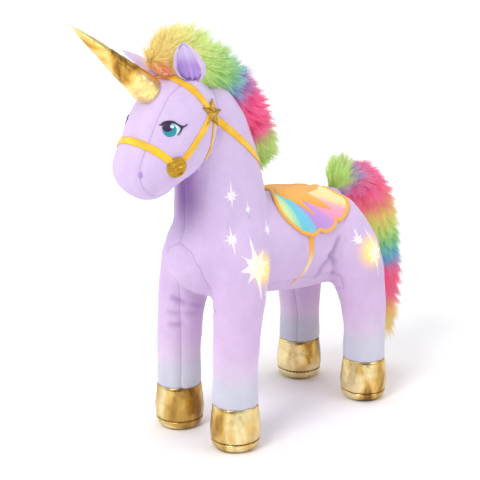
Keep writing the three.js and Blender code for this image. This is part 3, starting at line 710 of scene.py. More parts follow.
def build_skin():
    """The six plush panels as one even form, remeshed and inflated."""
    plugs = [(vec(*HORN_BASE) - horn_axis * 10, 14), (vec(*TAIL_ROOT) + vec(0, -13, -8), 12)]
    plugs += [(on_side(side, spot), 8.5) for side in SIDES.values() for spot in EAR_PLUGS]
    nodes = HEAD_PANELS + BODY_PANELS + FILLINGS + ["battery_flap", "battery_case"]
    rough = remeshed(nodes, SKIN_VOXEL, plugs, 5)
    head_tree = tree_of(mesh_of("head", *soup(HEAD_PANELS)))
    body_tree = tree_of(mesh_of("body", *soup(BODY_PANELS)))

    def share_of(co):
        return distances(head_tree, co) - distances(body_tree, co)

    co = coordinates(rough)
    lines, _ = seam_fields(co, share_of(co))
    pinned = (np.abs(lines).min(0) < 2.6) | (co[:, 2] < 44)
    set_coordinates(rough, inflate(rough, pinned))
    mesh = subdivided(rough)
    relax(mesh, 1)
    return mesh, share_of


FLANK = [
    [(46, 59.4, 171), (45, 47.3, 155), (42, 39.7, 146), (36, 37, 133)],
    [(45, 47, 157), (40, 57, 148), (33, 62, 136)],
]
LEG_CREASES = [
    [(27, -88, 130), (15, -80, 124), (12, -66, 121)],
    [(30, -91, 116), (17, -84, 115), (13, -68, 114)],
    [(29, -90, 104), (17, -82, 105)],
]
HIND_CREASES = [
    [(52, 92, 106), (46, 82, 109), (34, 80, 108)],
    [(24, 96, 122), (28, 84, 127), (36, 78, 128)],
]
CUFF_RADIUS, LEG_REACH = 20.3, 30


def mirrored(lines, side):
    return [[(side * x, y, z) for x, y, z in line] for line in lines]


def bell(distance, width):
    """One at nought, falling off over width."""
    return np.exp(-((distance / width) ** 2))


def crease_skin(mesh, share_of):
    """Seam valleys, folds where a leg meets the body, and a gather above each hoof; also how much painted
    shade the folds and the neck under the head get.
    """
    co, normal = coordinates(mesh), normals_of(mesh)
    lines, panel = seam_fields(co, share_of(co))
    near = np.abs(lines).min(0)
    push = -1.0 * bell(near, 1.5) + 0.3 * bell(near - 5, 3)
    # fold: how much painted shade each crease gets in the plush colour
    fold = np.zeros(len(co))
    for line in mirrored(FLANK, 1) + mirrored(FLANK, -1):
        away = line_distance(co, line)
        push -= 2.4 * bell(away, 2.4) - 0.7 * bell(away - 6, 3.5)
        fold = np.maximum(fold, 0.5 * bell(away, 3.2))
    for line in mirrored(LEG_CREASES, -1) + mirrored(LEG_CREASES[:1], 1):
        away = line_distance(co, line)
        push -= 1.7 * bell(away, 2.0) - 0.6 * bell(away - 5, 2.5)
        fold = np.maximum(fold, 0.45 * bell(away, 2.6))
    for line in mirrored(HIND_CREASES, 1) + mirrored(HIND_CREASES, -1):
        away = line_distance(co, line)
        push -= 0.9 * bell(away, 2.6)
        fold = np.maximum(fold, 0.2 * bell(away, 3))
    gather = np.clip((50 - co[:, 2]) / 8, 0, 1)
    for x, y in LEGS.values():
        turn = np.arctan2(co[:, 1] - y, co[:, 0] - x)
        near_leg = np.hypot(co[:, 0] - x, co[:, 1] - y) < LEG_REACH
        push += np.where(near_leg, gather * (0.25 * np.sin(11 * turn) + 0.1), 0)
    push += 1.1 * np.clip((130 - co[:, 2]) / 40, 0, 1) * (panel > 2)
    push += 0.35 * wobble(co, 16, 3) + 0.2 * wobble(co, 7, 9)
    moved = co + normal * push[:, None]
    for x, y in LEGS.values():
        out = moved[:, :2] - (x, y)
        reach = np.linalg.norm(out, axis=1)
        cuff = (reach < LEG_REACH) & (moved[:, 2] < CUFF_EDGE)
        shrink = np.minimum(1, CUFF_RADIUS / np.maximum(reach, 1))[:, None]
        moved[cuff, :2] = ((x, y) + out * shrink)[cuff]
        moved[cuff, 2] = CUFF_EDGE
    set_coordinates(mesh, moved)
    # painted shadow on the neck under the head, where the head shades it
    painted_neck_shadow = bell(co[:, 0], 24) * np.clip((co[:, 2] - 196) / 30, 0, 1)
    painted_neck_shadow *= np.clip((-88 - co[:, 1]) / 10, 0, 1) * (panel > 2)
    for name, values in zip(SEAM_LINES, lines):
        set_attribute(mesh, name, np.clip(values, -CLEAR_OF_SEAMS, CLEAR_OF_SEAMS))
    # the fold attribute carries the painted shade of the creases and of the neck under the head
    set_attribute(mesh, "fold", np.clip(fold + painted_neck_shadow, 0, 1))


CLOTH_THICKNESS = 1.2


def shell_of(name, co, normal, faces, extra):
    """A closed thin panel: the faces' outside, an inside under it, and a wall round its border."""
    used = np.unique(faces)
    index = np.full(len(co), -1)
    index[used] = np.arange(len(used))
    outer = index[faces]
    count = len(used)
    edge_a, edge_b = outer.ravel(), np.roll(outer, -1, axis=1).ravel()
    keys = edge_a.astype(np.int64) * count + edge_b
    open_edge = ~np.isin(keys, edge_b.astype(np.int64) * count + edge_a)
    a, b = edge_a[open_edge], edge_b[open_edge]
    wall = np.stack([a, a + count, b + count, b], 1)
    inner = outer[:, ::-1] + count
    verts = np.concatenate([co[used], co[used] - normal[used] * CLOTH_THICKNESS])
    mesh = mesh_of(name, verts, np.concatenate([outer, inner, wall]))
    for key, values in extra.items():
        set_attribute(mesh, key, np.concatenate([values[used], values[used]]))
    both = np.concatenate([normal[used], -normal[used]])
    mesh.normals_split_custom_set_from_vertices([tuple(n) for n in both])
    return mesh


def split_skin(mesh, share_of):
    """Cuts the skin into its sewn panels, which share their borders, and the flap under the belly."""
    co, normal = coordinates(mesh), normals_of(mesh)
    faces = numbers(mesh.polygons, "vertices", 4, np.int32)
    middle = co[faces].mean(1)
    _, of_face = seam_fields(middle, share_of(middle))
    x, y, z = middle.T
    of_face[(np.abs(x) < DOOR_HALF) & (y > DOOR_RUN[0]) & (y < DOOR_RUN[1]) & (z < DOOR_CEILING)] = FLAP
    keep = co[faces][:, :, 2].max(1) > CUFF_EDGE + 0.1
    # the seam distances and the fold amount of painted shade go with each panel
    extra = {key: numbers(mesh.attributes[key].data, "value", 1)[:, 0] for key in SEAM_LINES + ("fold",)}
    for number, node in enumerate(HEAD_PANELS + BODY_PANELS):
        part = shell_of("plush_" + node, co, normal, faces[keep & (of_face == number)], extra)
        piece("plush_" + node, part, PLUSH, "toy", "plush", node, padded=0.8)
    part = shell_of("plush_battery_flap", co, normal, faces[of_face == FLAP], extra)
    piece("plush_battery_flap", part, PLUSH, "belly_flap", "plush", "battery_flap")


skin_mesh, share_of = build_skin()
crease_skin(skin_mesh, share_of)
split_skin(skin_mesh, share_of)
skin = tree_of(skin_mesh)


def hit(origin, direction):
    """The first point of the skin along a ray, with its normal."""
    point, normal, _, _ = skin.ray_cast(Vector(origin), Vector(unit(direction)))
    return (vec(*point), vec(*normal)) if point else None


# ---------------------------------------------------------------- fillings
for name in FILLINGS:
    part = remeshed([name], 3.0, rounds=3)
    co = coordinates(part)
    set_coordinates(part, co - normals_of(part) * (1.6 + 0.4 * wobble(co, 6)[:, None]))
    piece("stuffing_" + name, part, FILLING, "toy", "filling", name, padded=0.8)


# ---------------------------------------------------------------- strips and patches laid on the skin
def smooth_path(points, count):
    """Even points on a smooth curve through points."""
    points = np.asarray(points, float)
    run = path_length(points)
    even = np.linspace(0, run[-1], count)
    made = np.stack([np.interp(even, run, points[:, k]) for k in range(points.shape[1])], 1)
    for _ in range(2):
        made[1:-1] = 0.25 * made[:-2] + 0.5 * made[1:-1] + 0.25 * made[2:]
    return made


def path_length(path):
    """The length run up to each point of a path."""
    return np.concatenate([[0], np.cumsum(np.linalg.norm(np.diff(path, axis=0), axis=1))])


STRIP_COLUMNS, STRIP_STEP = 6, 1.6
BRIDGING = 0.15


def strip(name, path, width, thick, lift):
    """A ribbon draped along a path on the skin: closed, with rounded edges, and a run and width map."""
    path = smooth_path(path, max(8, int(path_length(path)[-1] / STRIP_STEP)))
    half = width / 2
    shares = [2 * c / STRIP_COLUMNS - 1 for c in range(STRIP_COLUMNS + 1)]
    ring = [(share, thick) for share in shares] + [(share, 0) for share in reversed(shares)]
    verts = []
    for spot, heading in zip(path, np.gradient(path, axis=0)):
        normal = vec(*skin.find_nearest(Vector(spot))[1])
        side = unit(np.cross(heading, normal))
        for share, height in ring:
            flat = spot + side * half * share
            base = vec(*skin.find_nearest(Vector(flat))[0])
            base += normal * max(0, float((flat - base) @ normal)) * BRIDGING
            verts.append(base + normal * (lift + height * (1 - 0.55 * abs(share) ** 6)))
    count = len(ring)
    mesh = mesh_of(name, verts, tube_faces(len(path), count) + caps(len(path), count))
    along = path_length(path)
    layer = mesh.uv_layers.new(name="run")
    for loop in mesh.loops:
        row, column = divmod(loop.vertex_index, count)
        layer.data[loop.index].uv = (ring[column][0] * half, along[row])
    mesh.flip_normals()
    return mesh


def outward(mesh):
    """Turns a closed mesh's faces to look outwards."""
    a, b, c = corners_of(mesh)
    if (a * np.cross(b, c)).sum() < 0:
        mesh.flip_normals()
    return mesh


def patch(name, outline, lay, step, thick, crown=1.2, sink=0.4, paint=None, lift=0.0):
    """A cut-out laid on the skin; lay gives a point and normal of the skin for a 2D point of the outline."""
    outline = [np.asarray(p, float) for p in outline]
    low, high = np.min(outline, 0), np.max(outline, 0)
    ring = np.array(outline + [outline[0]])

    def margin(points):
        return line_distance(np.column_stack([points, np.zeros(len(points))]), [(*p, 0) for p in ring])

    columns, rows = np.arange(low[0], high[0], step), np.arange(low[1], high[1], step)
    grid = np.stack(np.meshgrid(columns, rows), -1).reshape(-1, 2)
    grid[:, 0] += (np.round((grid[:, 1] - low[1]) / step) % 2) * step / 2
    grid = grid[margin(grid) > 0.45 * step]
    points = [Vector(p) for p in outline] + [Vector(p) for p in grid]
    edges = [(i, (i + 1) % len(outline)) for i in range(len(outline))]
    made, _, faces, _, _, _ = delaunay_2d_cdt(points, edges, [], 1, 1e-6)
    flat = np.array([tuple(p) for p in made])
    height = lift + thick * (1 - np.exp(-margin(flat) / crown))
    top, bottom, good = [], [], []
    for p, h in zip(flat, height):
        found = lay(p)
        good.append(found is not None)
        spot, normal = found or (vec(0, 0, 0), vec(0, 0, 1))
        top.append(spot + normal * (h + 0.12))
        bottom.append(spot - normal * sink)
    faces = [f for f in faces if all(good[i] for i in f)]
    count = len(flat)
    walls = {}
    for f in faces:
        for i, j in zip(f, list(f[1:]) + [f[0]]):
            walls[(i, j)] = walls.get((j, i)) is None
            if (j, i) in walls:
                walls[(j, i)] = walls[(i, j)] = False
    every = [list(f) for f in faces] + [[i + count for i in f][::-1] for f in faces]
    every += [[j, i, i + count, j + count] for (i, j), is_wall in walls.items() if is_wall]
    mesh = mesh_of(name, top + bottom, every)
    if paint is not None:
        colours = paint(flat)
        set_tint(mesh, np.concatenate([colours, colours]))
    return outward(mesh)


def rounded(points, count):
    """A smooth closed outline of about count points, through points."""
    points = [np.asarray(p, float) for p in points]
    out = []
    n = len(points)
    steps = max(2, count // n)
    for i in range(n):
        before, here, after, beyond = (points[(i + k) % n] for k in (-1, 0, 1, 2))
        for s in np.arange(steps) / steps:
            leave, arrive = (after - before) * 0.5, (beyond - here) * 0.5
            h = vec(2 * s**3 - 3 * s**2 + 1, s**3 - 2 * s**2 + s, -2 * s**3 + 3 * s**2, s**3 - s**2)
            out.append(h[0] * here + h[1] * leave + h[2] * after + h[3] * arrive)
    return out


UP = vec(0, 0, 1)


def laid_plane(origin, facing, side):
    """A lay function: 2D points (sideways, up) dropped onto the skin along facing, on either side."""
    facing = unit(on_side(side, facing))
    top = unit(UP - facing * (UP @ facing))
    across = np.cross(top, facing) * side
    start = on_side(side, origin)

    def lay(p):
        return hit(start + across * p[0] + top * p[1] + facing * 40, -facing)

    return lay


# ---------------------------------------------------------------- bridle
def around(centre, heading, count):
    """Points of the skin seen from centre, turning from +X round by way of heading to -X."""
    found = []
    for angle in np.radians(np.linspace(88, -88, count)):
        ray = math.sin(angle) * vec(1, 0, 0) + math.cos(angle) * vec(0, *heading)
        spot = hit(vec(*centre) + ray * 90, -ray)
        if spot:
            found.append(spot[0])
    return found


def along_side(side, start, heading, low, high, count=22):
    """Points down one side of the skin, over start + heading * length."""
    found = []
    for length in np.linspace(low, high, count):
        y, z = start[0] + heading[0] * length, start[1] + heading[1] * length
        spot = hit(vec(side * 90, y, z), vec(-side, 0, 0))
        if spot:
            found.append(spot[0])
    return found


def ribbon(node, path, width=6.4, thick=0.8, lift=0.25):
    name = "ribbon_" + node
    piece(name, strip(name, path, width, thick, lift), RIBBON, "toy", "ribbon", node)


STAR_AT, MEDALLION_AT, THROAT_AT = (-95, 306), (-133, 264.5), (-93, 301)
NOSE_TOP, NOSE_DOWN, NOSE_HALF = (-160, 288.4), (0.749, -0.662), 33
BROW_HEADING, CHEEK_HEADING = (-0.596, 0.803), (0.669, 0.744)
REIN_HEADING, THROAT_HEADING = (0.79, -0.613), (-0.02, -1)
nose_centre = (0, NOSE_TOP[0] + NOSE_DOWN[0] * NOSE_HALF, NOSE_TOP[1] + NOSE_DOWN[1] * NOSE_HALF)
ribbon("noseband", around(nose_centre, [-h for h in NOSE_DOWN], 60))
ribbon("browband", around((0, *STAR_AT), BROW_HEADING, 64))
for side_name, side in SIDES.items():
    ribbon("cheek_strap_" + side_name, along_side(side, MEDALLION_AT, CHEEK_HEADING, 2, 54))
    ribbon("rein_" + side_name, along_side(side, STAR_AT, REIN_HEADING, 2, 88, 34), lift=0.3)
    throat = along_side(side, THROAT_AT, THROAT_HEADING, 2, 36, 20)
    ribbon("throat_strap_" + side_name, throat, 3.4, 0.7)


def badge_frame(centre, side, facing):
    """Where a badge near centre lies on the skin, and its directions across, up and out."""
    out = unit(on_side(side, facing))
    spot, _ = hit(on_side(side, centre) + out * 30, -out)
    rise = vec(0, 0.2, 1)
    top = unit(rise - out * (rise @ out))
    return spot, np.cross(top, out), top, out


def star_mesh(name, side):
    """A five-point star with a ridge along each arm, brushed and slightly puffed."""
    spot, across, top, out = badge_frame((34, -95, 306), side, (1, 0.12, 0.2))
    verts = []
    for scale, height in [(1, 0.3), (1.0, 1.5), (0.86, 2.3)]:
        for k in range(10):
            radius = (12.5 if k % 2 == 0 else 5.4) * scale
            angle = math.pi / 2 + k * math.pi / 5
            flat = across * radius * math.cos(angle) + top * radius * math.sin(angle)
            verts.append(spot + flat + out * height)
    verts += [spot + out * 4.2, spot + out * 0.3]
    faces = tube_faces(3, 10)
    for k in range(10):
        faces.append([20 + k, 20 + (k + 1) % 10, 30])
        faces.append([(k + 1) % 10, k, 31])
    mesh = outward(mesh_of(name, verts, faces))
    mesh.polygons.foreach_set("use_smooth", np.zeros(len(mesh.polygons), bool))
    return mesh


MEDALLION_PROFILE = [
    (0, 2.6), (1.6, 2.7), (2.6, 2.1), (4.2, 2.5), (5.6, 1.7), (6.6, 1.7),
    (7.3, 2.7), (8.1, 2.7), (8.7, 2.0), (8.8, 1.0), (8.5, 0.2), (0, 0.2),
]


def medallion_mesh(name, side):
    """A round badge with a beaded rim and a plain embossed rosette."""
    spot, across, top, out = badge_frame((31, -134.5, 265), side, (1, -0.35, -0.25))
    sides, verts = 48, []
    for radius, height in MEDALLION_PROFILE:
        for angle in round_turn(sides):
            petal = 0.55 * math.cos(6 * angle) if 1.5 < radius < 5 and height > 1 else 0
            bead = 0.25 * math.cos(24 * angle) if 7 < radius < 8.5 and height > 2.2 else 0
            r = max(radius, 0.02)
            spread = across * r * math.cos(angle) + top * r * math.sin(angle)
            verts.append(spot + spread + out * (height + petal + bead))
    rows = len(MEDALLION_PROFILE)
    return outward(mesh_of(name, verts, tube_faces(rows, sides) + caps(rows, sides)))


BADGES = [("star_badge_", star_mesh, STAR_GOLD), ("medallion_", medallion_mesh, MEDAL_GOLD)]
for side_name, side in SIDES.items():
    for kind, shape, gold in BADGES:
        node = kind + side_name
        piece("gold_" + node, shape("gold_" + node, side), gold, "toy", "gold_trim", node)


# ---------------------------------------------------------------- eyes, nostrils
EYE_SCALE = 0.9
EYE_LID = [
    (-10.5, 4.1), (-8.6, 5.0), (-6.4, 6.9), (-1.2, 7.8), (3.5, 6.9), (7.0, 4.6), (10.8, 2.9), (13.6, 3.3),
    (16.1, 4.7), (14.6, 2.6), (12.4, 1.4), (11, 0.3), (9.7, -2), (8, -4.2), (5.6, -5.8), (7.6, -3.4),
    (9.0, -0.6), (8.7, 1.4), (6.6, 3.0), (3.0, 5.0), (0.0, 5.6), (-4, 5.2), (-7.6, 3.6),
]
EYE_BALL = [
    (-7.0, 4.2), (-2, 5.8), (3.4, 5.2), (7.0, 3.0), (8.9, 0.4), (8.0, -2.6),
    (5.2, -5.2), (0.8, -7.1), (-3.4, -6.5), (-6.4, -3.6), (-7.4, 0.4),
]
EYE_AT, EYE_FACING = (28.4, -137.4, 296.9), (0.8, -0.55, 0.22)
NOSTRIL_AT, NOSTRIL_FACING = (18.7, -162.9, 260.3), (0.72, -0.66, -0.1)


def oval(centre, wide, high, count=28):
    return [(centre[0] + wide * math.cos(t), centre[1] + high * math.sin(t)) for t in round_turn(count)]


def stacked(name, layers, lay, *nodes):
    """Embroidered layers joined in one piece, one thread material each."""
    whole_verts, whole_faces, which, materials = [], [], [], []
    for outline, lift, material, thick in layers:
        outline = [(EYE_SCALE * a, EYE_SCALE * b) for a, b in outline]
        part = patch("layer", outline, lay, 0.9, thick, 0.5, 0.3, lift=lift)
        start = len(whole_verts)
        whole_verts.extend(coordinates(part))
        if material not in materials:
            materials.append(material)
        for f in part.polygons:
            whole_faces.append([start + i for i in f.vertices])
            which.append(materials.index(material))
        bpy.data.meshes.remove(part)
    mesh = mesh_of(name, whole_verts, whole_faces)
    piece(name, mesh, materials, "toy", "embroidery", *nodes)
    mesh.polygons.foreach_set("material_index", which)


for side_name, side in SIDES.items():
    lay = laid_plane(EYE_AT, EYE_FACING, side)
    layers = [
        (rounded(EYE_BALL, 44), 0.0, EYE_WHITE, 0.3),
        (oval((-0.9, -0.8), 6.6, 6.3), 0.18, IRIS, 0.35),
        (oval((-2.9, 1.5), 4.9, 4.6), 0.4, LID, 0.3),
        (rounded(EYE_LID, 92), 0.5, LID, 0.45),
        (oval((1.3, 2.2), 1.9, 1.7, 16), 0.75, EYE_WHITE, 0.3),
    ]
    stacked("embroidered_eye_" + side_name, layers, lay, "eye_" + side_name)
    tuck = [
        (oval((0, 0), 2.1, 3.3, 24), 0.0, NOSTRIL_RIM, 0.35),
        (oval((0.1, 0), 1.1, 2.1, 16), 0.2, NOSTRIL, 0.1),
    ]
    stacked("stitched_nostril_" + side_name, tuck, laid_plane(NOSTRIL_AT, NOSTRIL_FACING, side))


# ---------------------------------------------------------------- saddle
TILT = math.radians(48)
AWAY, DOWN = vec(math.sin(TILT), 0, math.cos(TILT)), vec(math.cos(TILT), 0, -math.sin(TILT))
WING = [
    (-165.5, 13), (-160, 6.5), (-152, -1), (-142, -7.5), (-130, -9.5), (-119, -4), (-110, 6), (-105.6, 17),
    (-104.6, 26), (-107.2, 33), (-105, 38), (-105.2, 48), (-109, 57.5), (-112.8, 60.5), (-111.5, 66),
    (-114.5, 75), (-121, 83), (-129.5, 87.5), (-139, 87.5), (-149, 84), (-158.5, 79.5), (-161, 46),
]
FINGERS = [
    (-165, 14), (-158, 7.5), (-150, 4.5), (-141, 10.5), (-132, 19), (-124.5, 26), (-119.4, 32), (-121.5, 33),
    (-128, 29.5), (-136.6, 26), (-133.5, 33), (-127.5, 45), (-122.8, 57.5), (-123.6, 60.5), (-127, 58),
    (-136, 51), (-144.6, 43.6), (-146.8, 52), (-148.2, 62), (-150.5, 69), (-154.5, 71), (-158.6, 68),
    (-160.5, 46),
]
WING_ROOT = (-162, 2)
CELLS = [
    (-6, "#D3E8A0"),
    (2, "#A9DFB4"),
    (6, "#90D8C4"),
    (9, "#5CC8DA"),
    (24, "#70C4E2"),
    (28, "#B78AD8"),
    (45, "#C594DA"),
    (49, "#F096C0"),
    (61, "#F4A6BE"),
    (66, "#F3DC9A"),
    (80, "#F2EBA4"),
    (95, "#E8EEB0"),
]


def wing_lay(side):
    """A lay function: 2D points (down the slope, rearward) dropped onto the back along its slope."""
    def lay(p):
        return hit(on_side(side, DOWN * p[0] + vec(0, p[1], 0) + AWAY * 300), on_side(side, -AWAY))

    return lay


def wing_paint(points):
    turn = np.degrees(np.arctan2(points[:, 1] - WING_ROOT[1], points[:, 0] - WING_ROOT[0]))
    colours = sweep_by_ramp(turn, CELLS)
    pale = np.clip((points[:, 0] + 112) / 10, 0, 1)[:, None] * 0.15
    return colours * (1 - pale) + pale


def drawn_in(outline, width):
    """A closed outline, moved inwards by width."""
    outline = np.array(outline)
    run = np.roll(outline, -1, 0) - np.roll(outline, 1, 0)
    inward = units(np.stack([-run[:, 1], run[:, 0]], 1))
    if (np.roll(outline, -1, 0) * outline[:, ::-1] * (1, -1)).sum() > 0:
        inward = -inward
    return outline + inward * width


def piping(name, outline, lay, radius, lift):
    """A corded edge: a closed tube that follows the outline on the skin."""
    laid = [found for found in map(lay, outline) if found]
    normals = np.array([normal for _, normal in laid])
    centres = np.array([spot for spot, _ in laid]) + normals * lift
    across = np.cross(units(np.roll(centres, -1, 0) - np.roll(centres, 1, 0)), normals)
    sides = 8
    turns = np.array(round_turn(sides))[None, :, None]
    flat = across[:, None] * radius * np.cos(turns)
    rise = normals[:, None] * 0.62 * radius * np.sin(turns)
    verts = (centres[:, None] + flat + rise).reshape(-1, 3)
    return outward(mesh_of(name, verts, tube_faces(len(centres), sides, closed=True)))


def vein_paint(points):
    return sweep_by_ramp(points[:, 0], [(-165, "#F3A52F"), (-141.5, "#F5B03C"), (-118, "#EF9E2B")])


for side_name, side in SIDES.items():
    lay = wing_lay(side)
    edge = rounded(WING, 132)
    cloth = patch("wing_cloth_" + side_name, edge, lay, 2.2, 1.3, 1.5, 0.5, wing_paint, lift=0.2)
    replaced = ["saddle"] if side_name == "left" else []
    piece("wing_cloth_" + side_name, cloth, PRINTED, "toy", "wing", *replaced)
    rim = piping("wing_piping_" + side_name, drawn_in(edge, 1.1), lay, 1.9, 1.3)
    set_tint(rim, np.tile(linear("#F4AE3A")[:3], (len(rim.vertices), 1)))
    piece("wing_piping_" + side_name, rim, PRINTED, "toy", "wing")
    name = "wing_veins_" + side_name
    veins = patch(name, rounded(FINGERS, 138), lay, 2.2, 1.5, 1.3, 0.0, vein_paint, lift=1.2)
    piece(name, veins, PRINTED, "toy", "wing")

GIRTH = [
    (16.7, 185), (23.9, 185), (24, 172), (23.2, 160), (20.5, 149), (15.5, 139),
    (10.5, 133.5), (9.2, 134.6), (13.0, 141), (15.8, 150), (17, 161), (16.9, 172),
]
GIRTH_DYE = [
    (132, "#E8A24A"),
    (140, "#EFC079"),
    (150, "#F6E2B4"),
    (158, "#F5D68E"),
    (168, "#F3AE3E"),
    (185, "#F09A2A"),
]


def girth_paint(points):
    return sweep_by_ramp(points[:, 1], GIRTH_DYE)


def side_lay(side):
    """A lay function: 2D points (rearward, up) dropped onto one side of the body."""
    return lambda p: hit(vec(side * 90, p[0], p[1]), vec(-side, 0, 0))


for side_name, side in SIDES.items():
    name = "girth_strap_" + side_name
    strap = patch("printed_" + name, rounded(GIRTH, 72), side_lay(side), 1.6, 0.7, 0.7, 0.4, girth_paint)
    piece("printed_" + name, strap, PRINTED, "toy", "wing", name)


# ---------------------------------------------------------------- star prints
def sparkle(high, wide, small, lean):
    """The outline of a star with two high points, two wide ones and four small ones, turned by lean."""
    notch = small * 0.47
    out = []
    for k, radius in enumerate((high, notch, small, notch, wide, notch, small, notch) * 2):
        turn = math.pi / 2 + k * math.pi / 8 + lean
        out.append((radius * math.cos(turn), radius * math.sin(turn)))
    return out


NECK, CHEST, HIP, RUMP = (1, -0.55, 0.1), (1, -0.25, 0.1), (1, 0.05, 0.05), (1, 0.35, 0)
STARS = [
    ((33.6, -72.7, 231.4), NECK, 16, 8, 6.5, 0.06),
    ((38, -56.3, 217.5), CHEST, 9.5, 5, 4, 0.08),
    ((40.3, -34, 196), CHEST, 12, 6.5, 5, 0.08),
    ((39.1, -77.3, 194.2), NECK, 16, 9, 6.5, 0.1),
    ((55.5, -63, 170), CHEST, 36, 23, 18, 0.1),
    ((57.1, -51.5, 144), CHEST, 10, 5.5, 4, 0.05),
    ((53.8, 79.9, 167.4), HIP, 17, 9, 6.5, 0.05),
    ((56, 96, 153), RUMP, 26, 17, 13, 0.1),
]
for side_name, side in SIDES.items():
    for number, (centre, facing, *shape) in enumerate(STARS, 1):
        name = f"star_print_{number}_{side_name}"
        cut = patch(name, sparkle(*shape), laid_plane(centre, facing, side), 1.6, 0.05, 0.5, 0.3)
        piece(name, cut, STAR_PRINT, "toy", "plush")


# ---------------------------------------------------------------- hooves
HOOF_OUT = [
    (20.1, HOOF_TOP + 0.1), (20.6, HOOF_TOP - 0.5), (21.0, 39), (21.5, 34), (22.2, 28),
    (22.8, 22), (22.9, 17), (22.6, 13), (22.1, 10.6), (21.6, 9.8),
]
HOOF_IN = [(20.9, 10.3), (21.5, 14), (21.6, 20), (20.9, 28), (20.1, 36), (19.6, HOOF_TOP - 0.2)]
SOLE_OUT = [(21.7, 9.3), (22.0, 8.3), (21.4, 5.6), (19.9, 3.0), (17.4, 1.0), (14.2, 0.0), (0.02, 0.0)]
SOLE_IN = [(0.02, 1.1), (14, 1.2), (17.0, 2.2), (19.2, 4.4), (20.6, 8.8)]


GATHER_FROM, PLEATS = 34, 13


def turned(name, profile, centre, wrinkle, seed):
    """A body of revolution about a leg, crumpled by wrinkle and pleated at its top."""
    x, y = centre
    sides, verts = 72, []
    for radius, z in profile:
        for turn in round_turn(sides):
            spot = vec(x + radius * math.cos(turn), y + radius * math.sin(turn), z)
            rough = noise.noise(Vector(spot / 7) + Vector((seed, 0, 0)))
            rough += 0.5 * noise.noise(Vector(spot / 3) + Vector((seed, 9, 0)))
            pleat = 0.12 * math.sin(PLEATS * turn + seed) * max(0.0, (z - GATHER_FROM) / 8)
            grow = (wrinkle * rough + pleat) if z > 1 and radius > 1 else 0
            verts.append(vec(x + (radius + grow) * math.cos(turn), y + (radius + grow) * math.sin(turn), z))
    return outward(mesh_of(name, verts, tube_faces(len(profile), sides, closed=True)))


def tacks(name, spots):
    """Short stitches: small rounded bars, each given as (centre, along, out)."""
    verts, faces = [], []
    for centre, along, out in spots:
        across = np.cross(along, out)
        start = len(verts)
        for share, grow in ((-1, 0.35), (-0.7, 1), (0.7, 1), (1, 0.35)):
            for turn in round_turn(6):
                round_it = across * math.cos(turn) + out * math.sin(turn)
                verts.append(centre + along * share + round_it * 0.34 * grow)
        faces += tube_faces(4, 6, start=start) + caps(4, 6, start)
    piece(name, outward(mesh_of(name, verts, faces)), STITCH, "toy", "gold_foil")


def denser(profile):
    """A profile with a point about every 1.6 mm."""
    out = []
    for (r0, z0), (r1, z1) in zip(profile, profile[1:]):
        steps = max(1, int(math.hypot(r1 - r0, z1 - z0) / 1.6))
        out += [(r0 + (r1 - r0) * k / steps, z0 + (z1 - z0) * k / steps) for k in range(steps)]
    return out + [profile[-1]]


SOLE_STITCHES, SOLE_SEAM = 34, 9.6
for number, (leg, centre) in enumerate(LEGS.items()):
    upper = turned("foil_upper_" + leg, denser(HOOF_OUT) + HOOF_IN, centre, 0.4, 5.0 * number)
    piece("foil_upper_" + leg, upper, HOOF_FOIL, "toy", "gold_foil", "hoof_upper_" + leg)
    sole = turned("foil_sole_" + leg, denser(SOLE_OUT) + SOLE_IN, centre, 0.25, 5.0 * number + 2)
    piece("foil_sole_" + leg, sole, HOOF_FOIL, "toy", "gold_foil", "hoof_sole_" + leg)
    spots = []
    for turn in round_turn(SOLE_STITCHES):
        out = vec(math.cos(turn), math.sin(turn), 0)
        along = vec(-math.sin(turn), math.cos(turn), 0)
        spots.append((vec(*centre, SOLE_SEAM) + out * 21.9, along, out))
    tacks("sole_stitches_" + leg, spots)


# ---------------------------------------------------------------- horn
HORN_SHARES, HORN_WIDTHS = (0.0, 0.08, 0.42, 0.72, 0.93, 1.0), (1, 0.97, 0.68, 0.42, 0.2, 0.075)


def horn_mesh():
    """Foil horn: a cone with a rolled base, and lengthwise creases that wind slowly round it."""
    length = np.linalg.norm(np.subtract(HORN_TIP, HORN_BASE))
    across = vec(1, 0, 0)
    up = np.cross(horn_axis, across)
    sides = 64
    shares = np.concatenate([np.linspace(-0.07, 0.06, 14, endpoint=False), np.linspace(0.06, 1, 82)])
    verts = []
    for s in shares:
        body = np.interp(s, HORN_SHARES, HORN_WIDTHS)
        if s < 0:
            body = math.sqrt(max(0.0, 1 - (s / 0.085) ** 2))
        for turn in round_turn(sides):
            wind = turn + 2.2 * s
            ring = vec(math.cos(wind), math.sin(wind), 0)
            ridge = noise.noise(Vector((ring[0] * 1.7, ring[1] * 1.7, s * 3.2)))
            crumple = noise.noise(Vector((ring[0] * 3.5, ring[1] * 3.5, s * 16)))
            fine = noise.noise(Vector((ring[0] * 6, ring[1] * 6, s * 40)))
            twist = 0.35 * math.sin(2 * math.pi * (s * 7.5) + turn)
            relief = 0.55 * ridge + 0.42 * crumple + 0.22 * fine + 0.3 * twist
            relief *= min(1, body + 0.15) * (s > -0.06)
            radius = max(HORN_RADIUS * body + relief - 0.4, 0.3)
            out = across * math.cos(turn) + up * math.sin(turn)
            verts.append(vec(*HORN_BASE) + horn_axis * length * s + out * radius)
    rows = len(shares)
    return outward(mesh_of("foil_horn", verts, tube_faces(rows, sides) + caps(rows, sides)))


piece("foil_horn", horn_mesh(), HORN_FOIL, "horn", "gold_foil", "horn_cover", padded=0.9)
core = remeshed(["horn_filling"], 1.5, rounds=3)
set_coordinates(core, coordinates(core) - normals_of(core) * 1.2)
piece("stuffing_horn", core, FILLING, "horn", "filling", "horn_filling", padded=0.9)


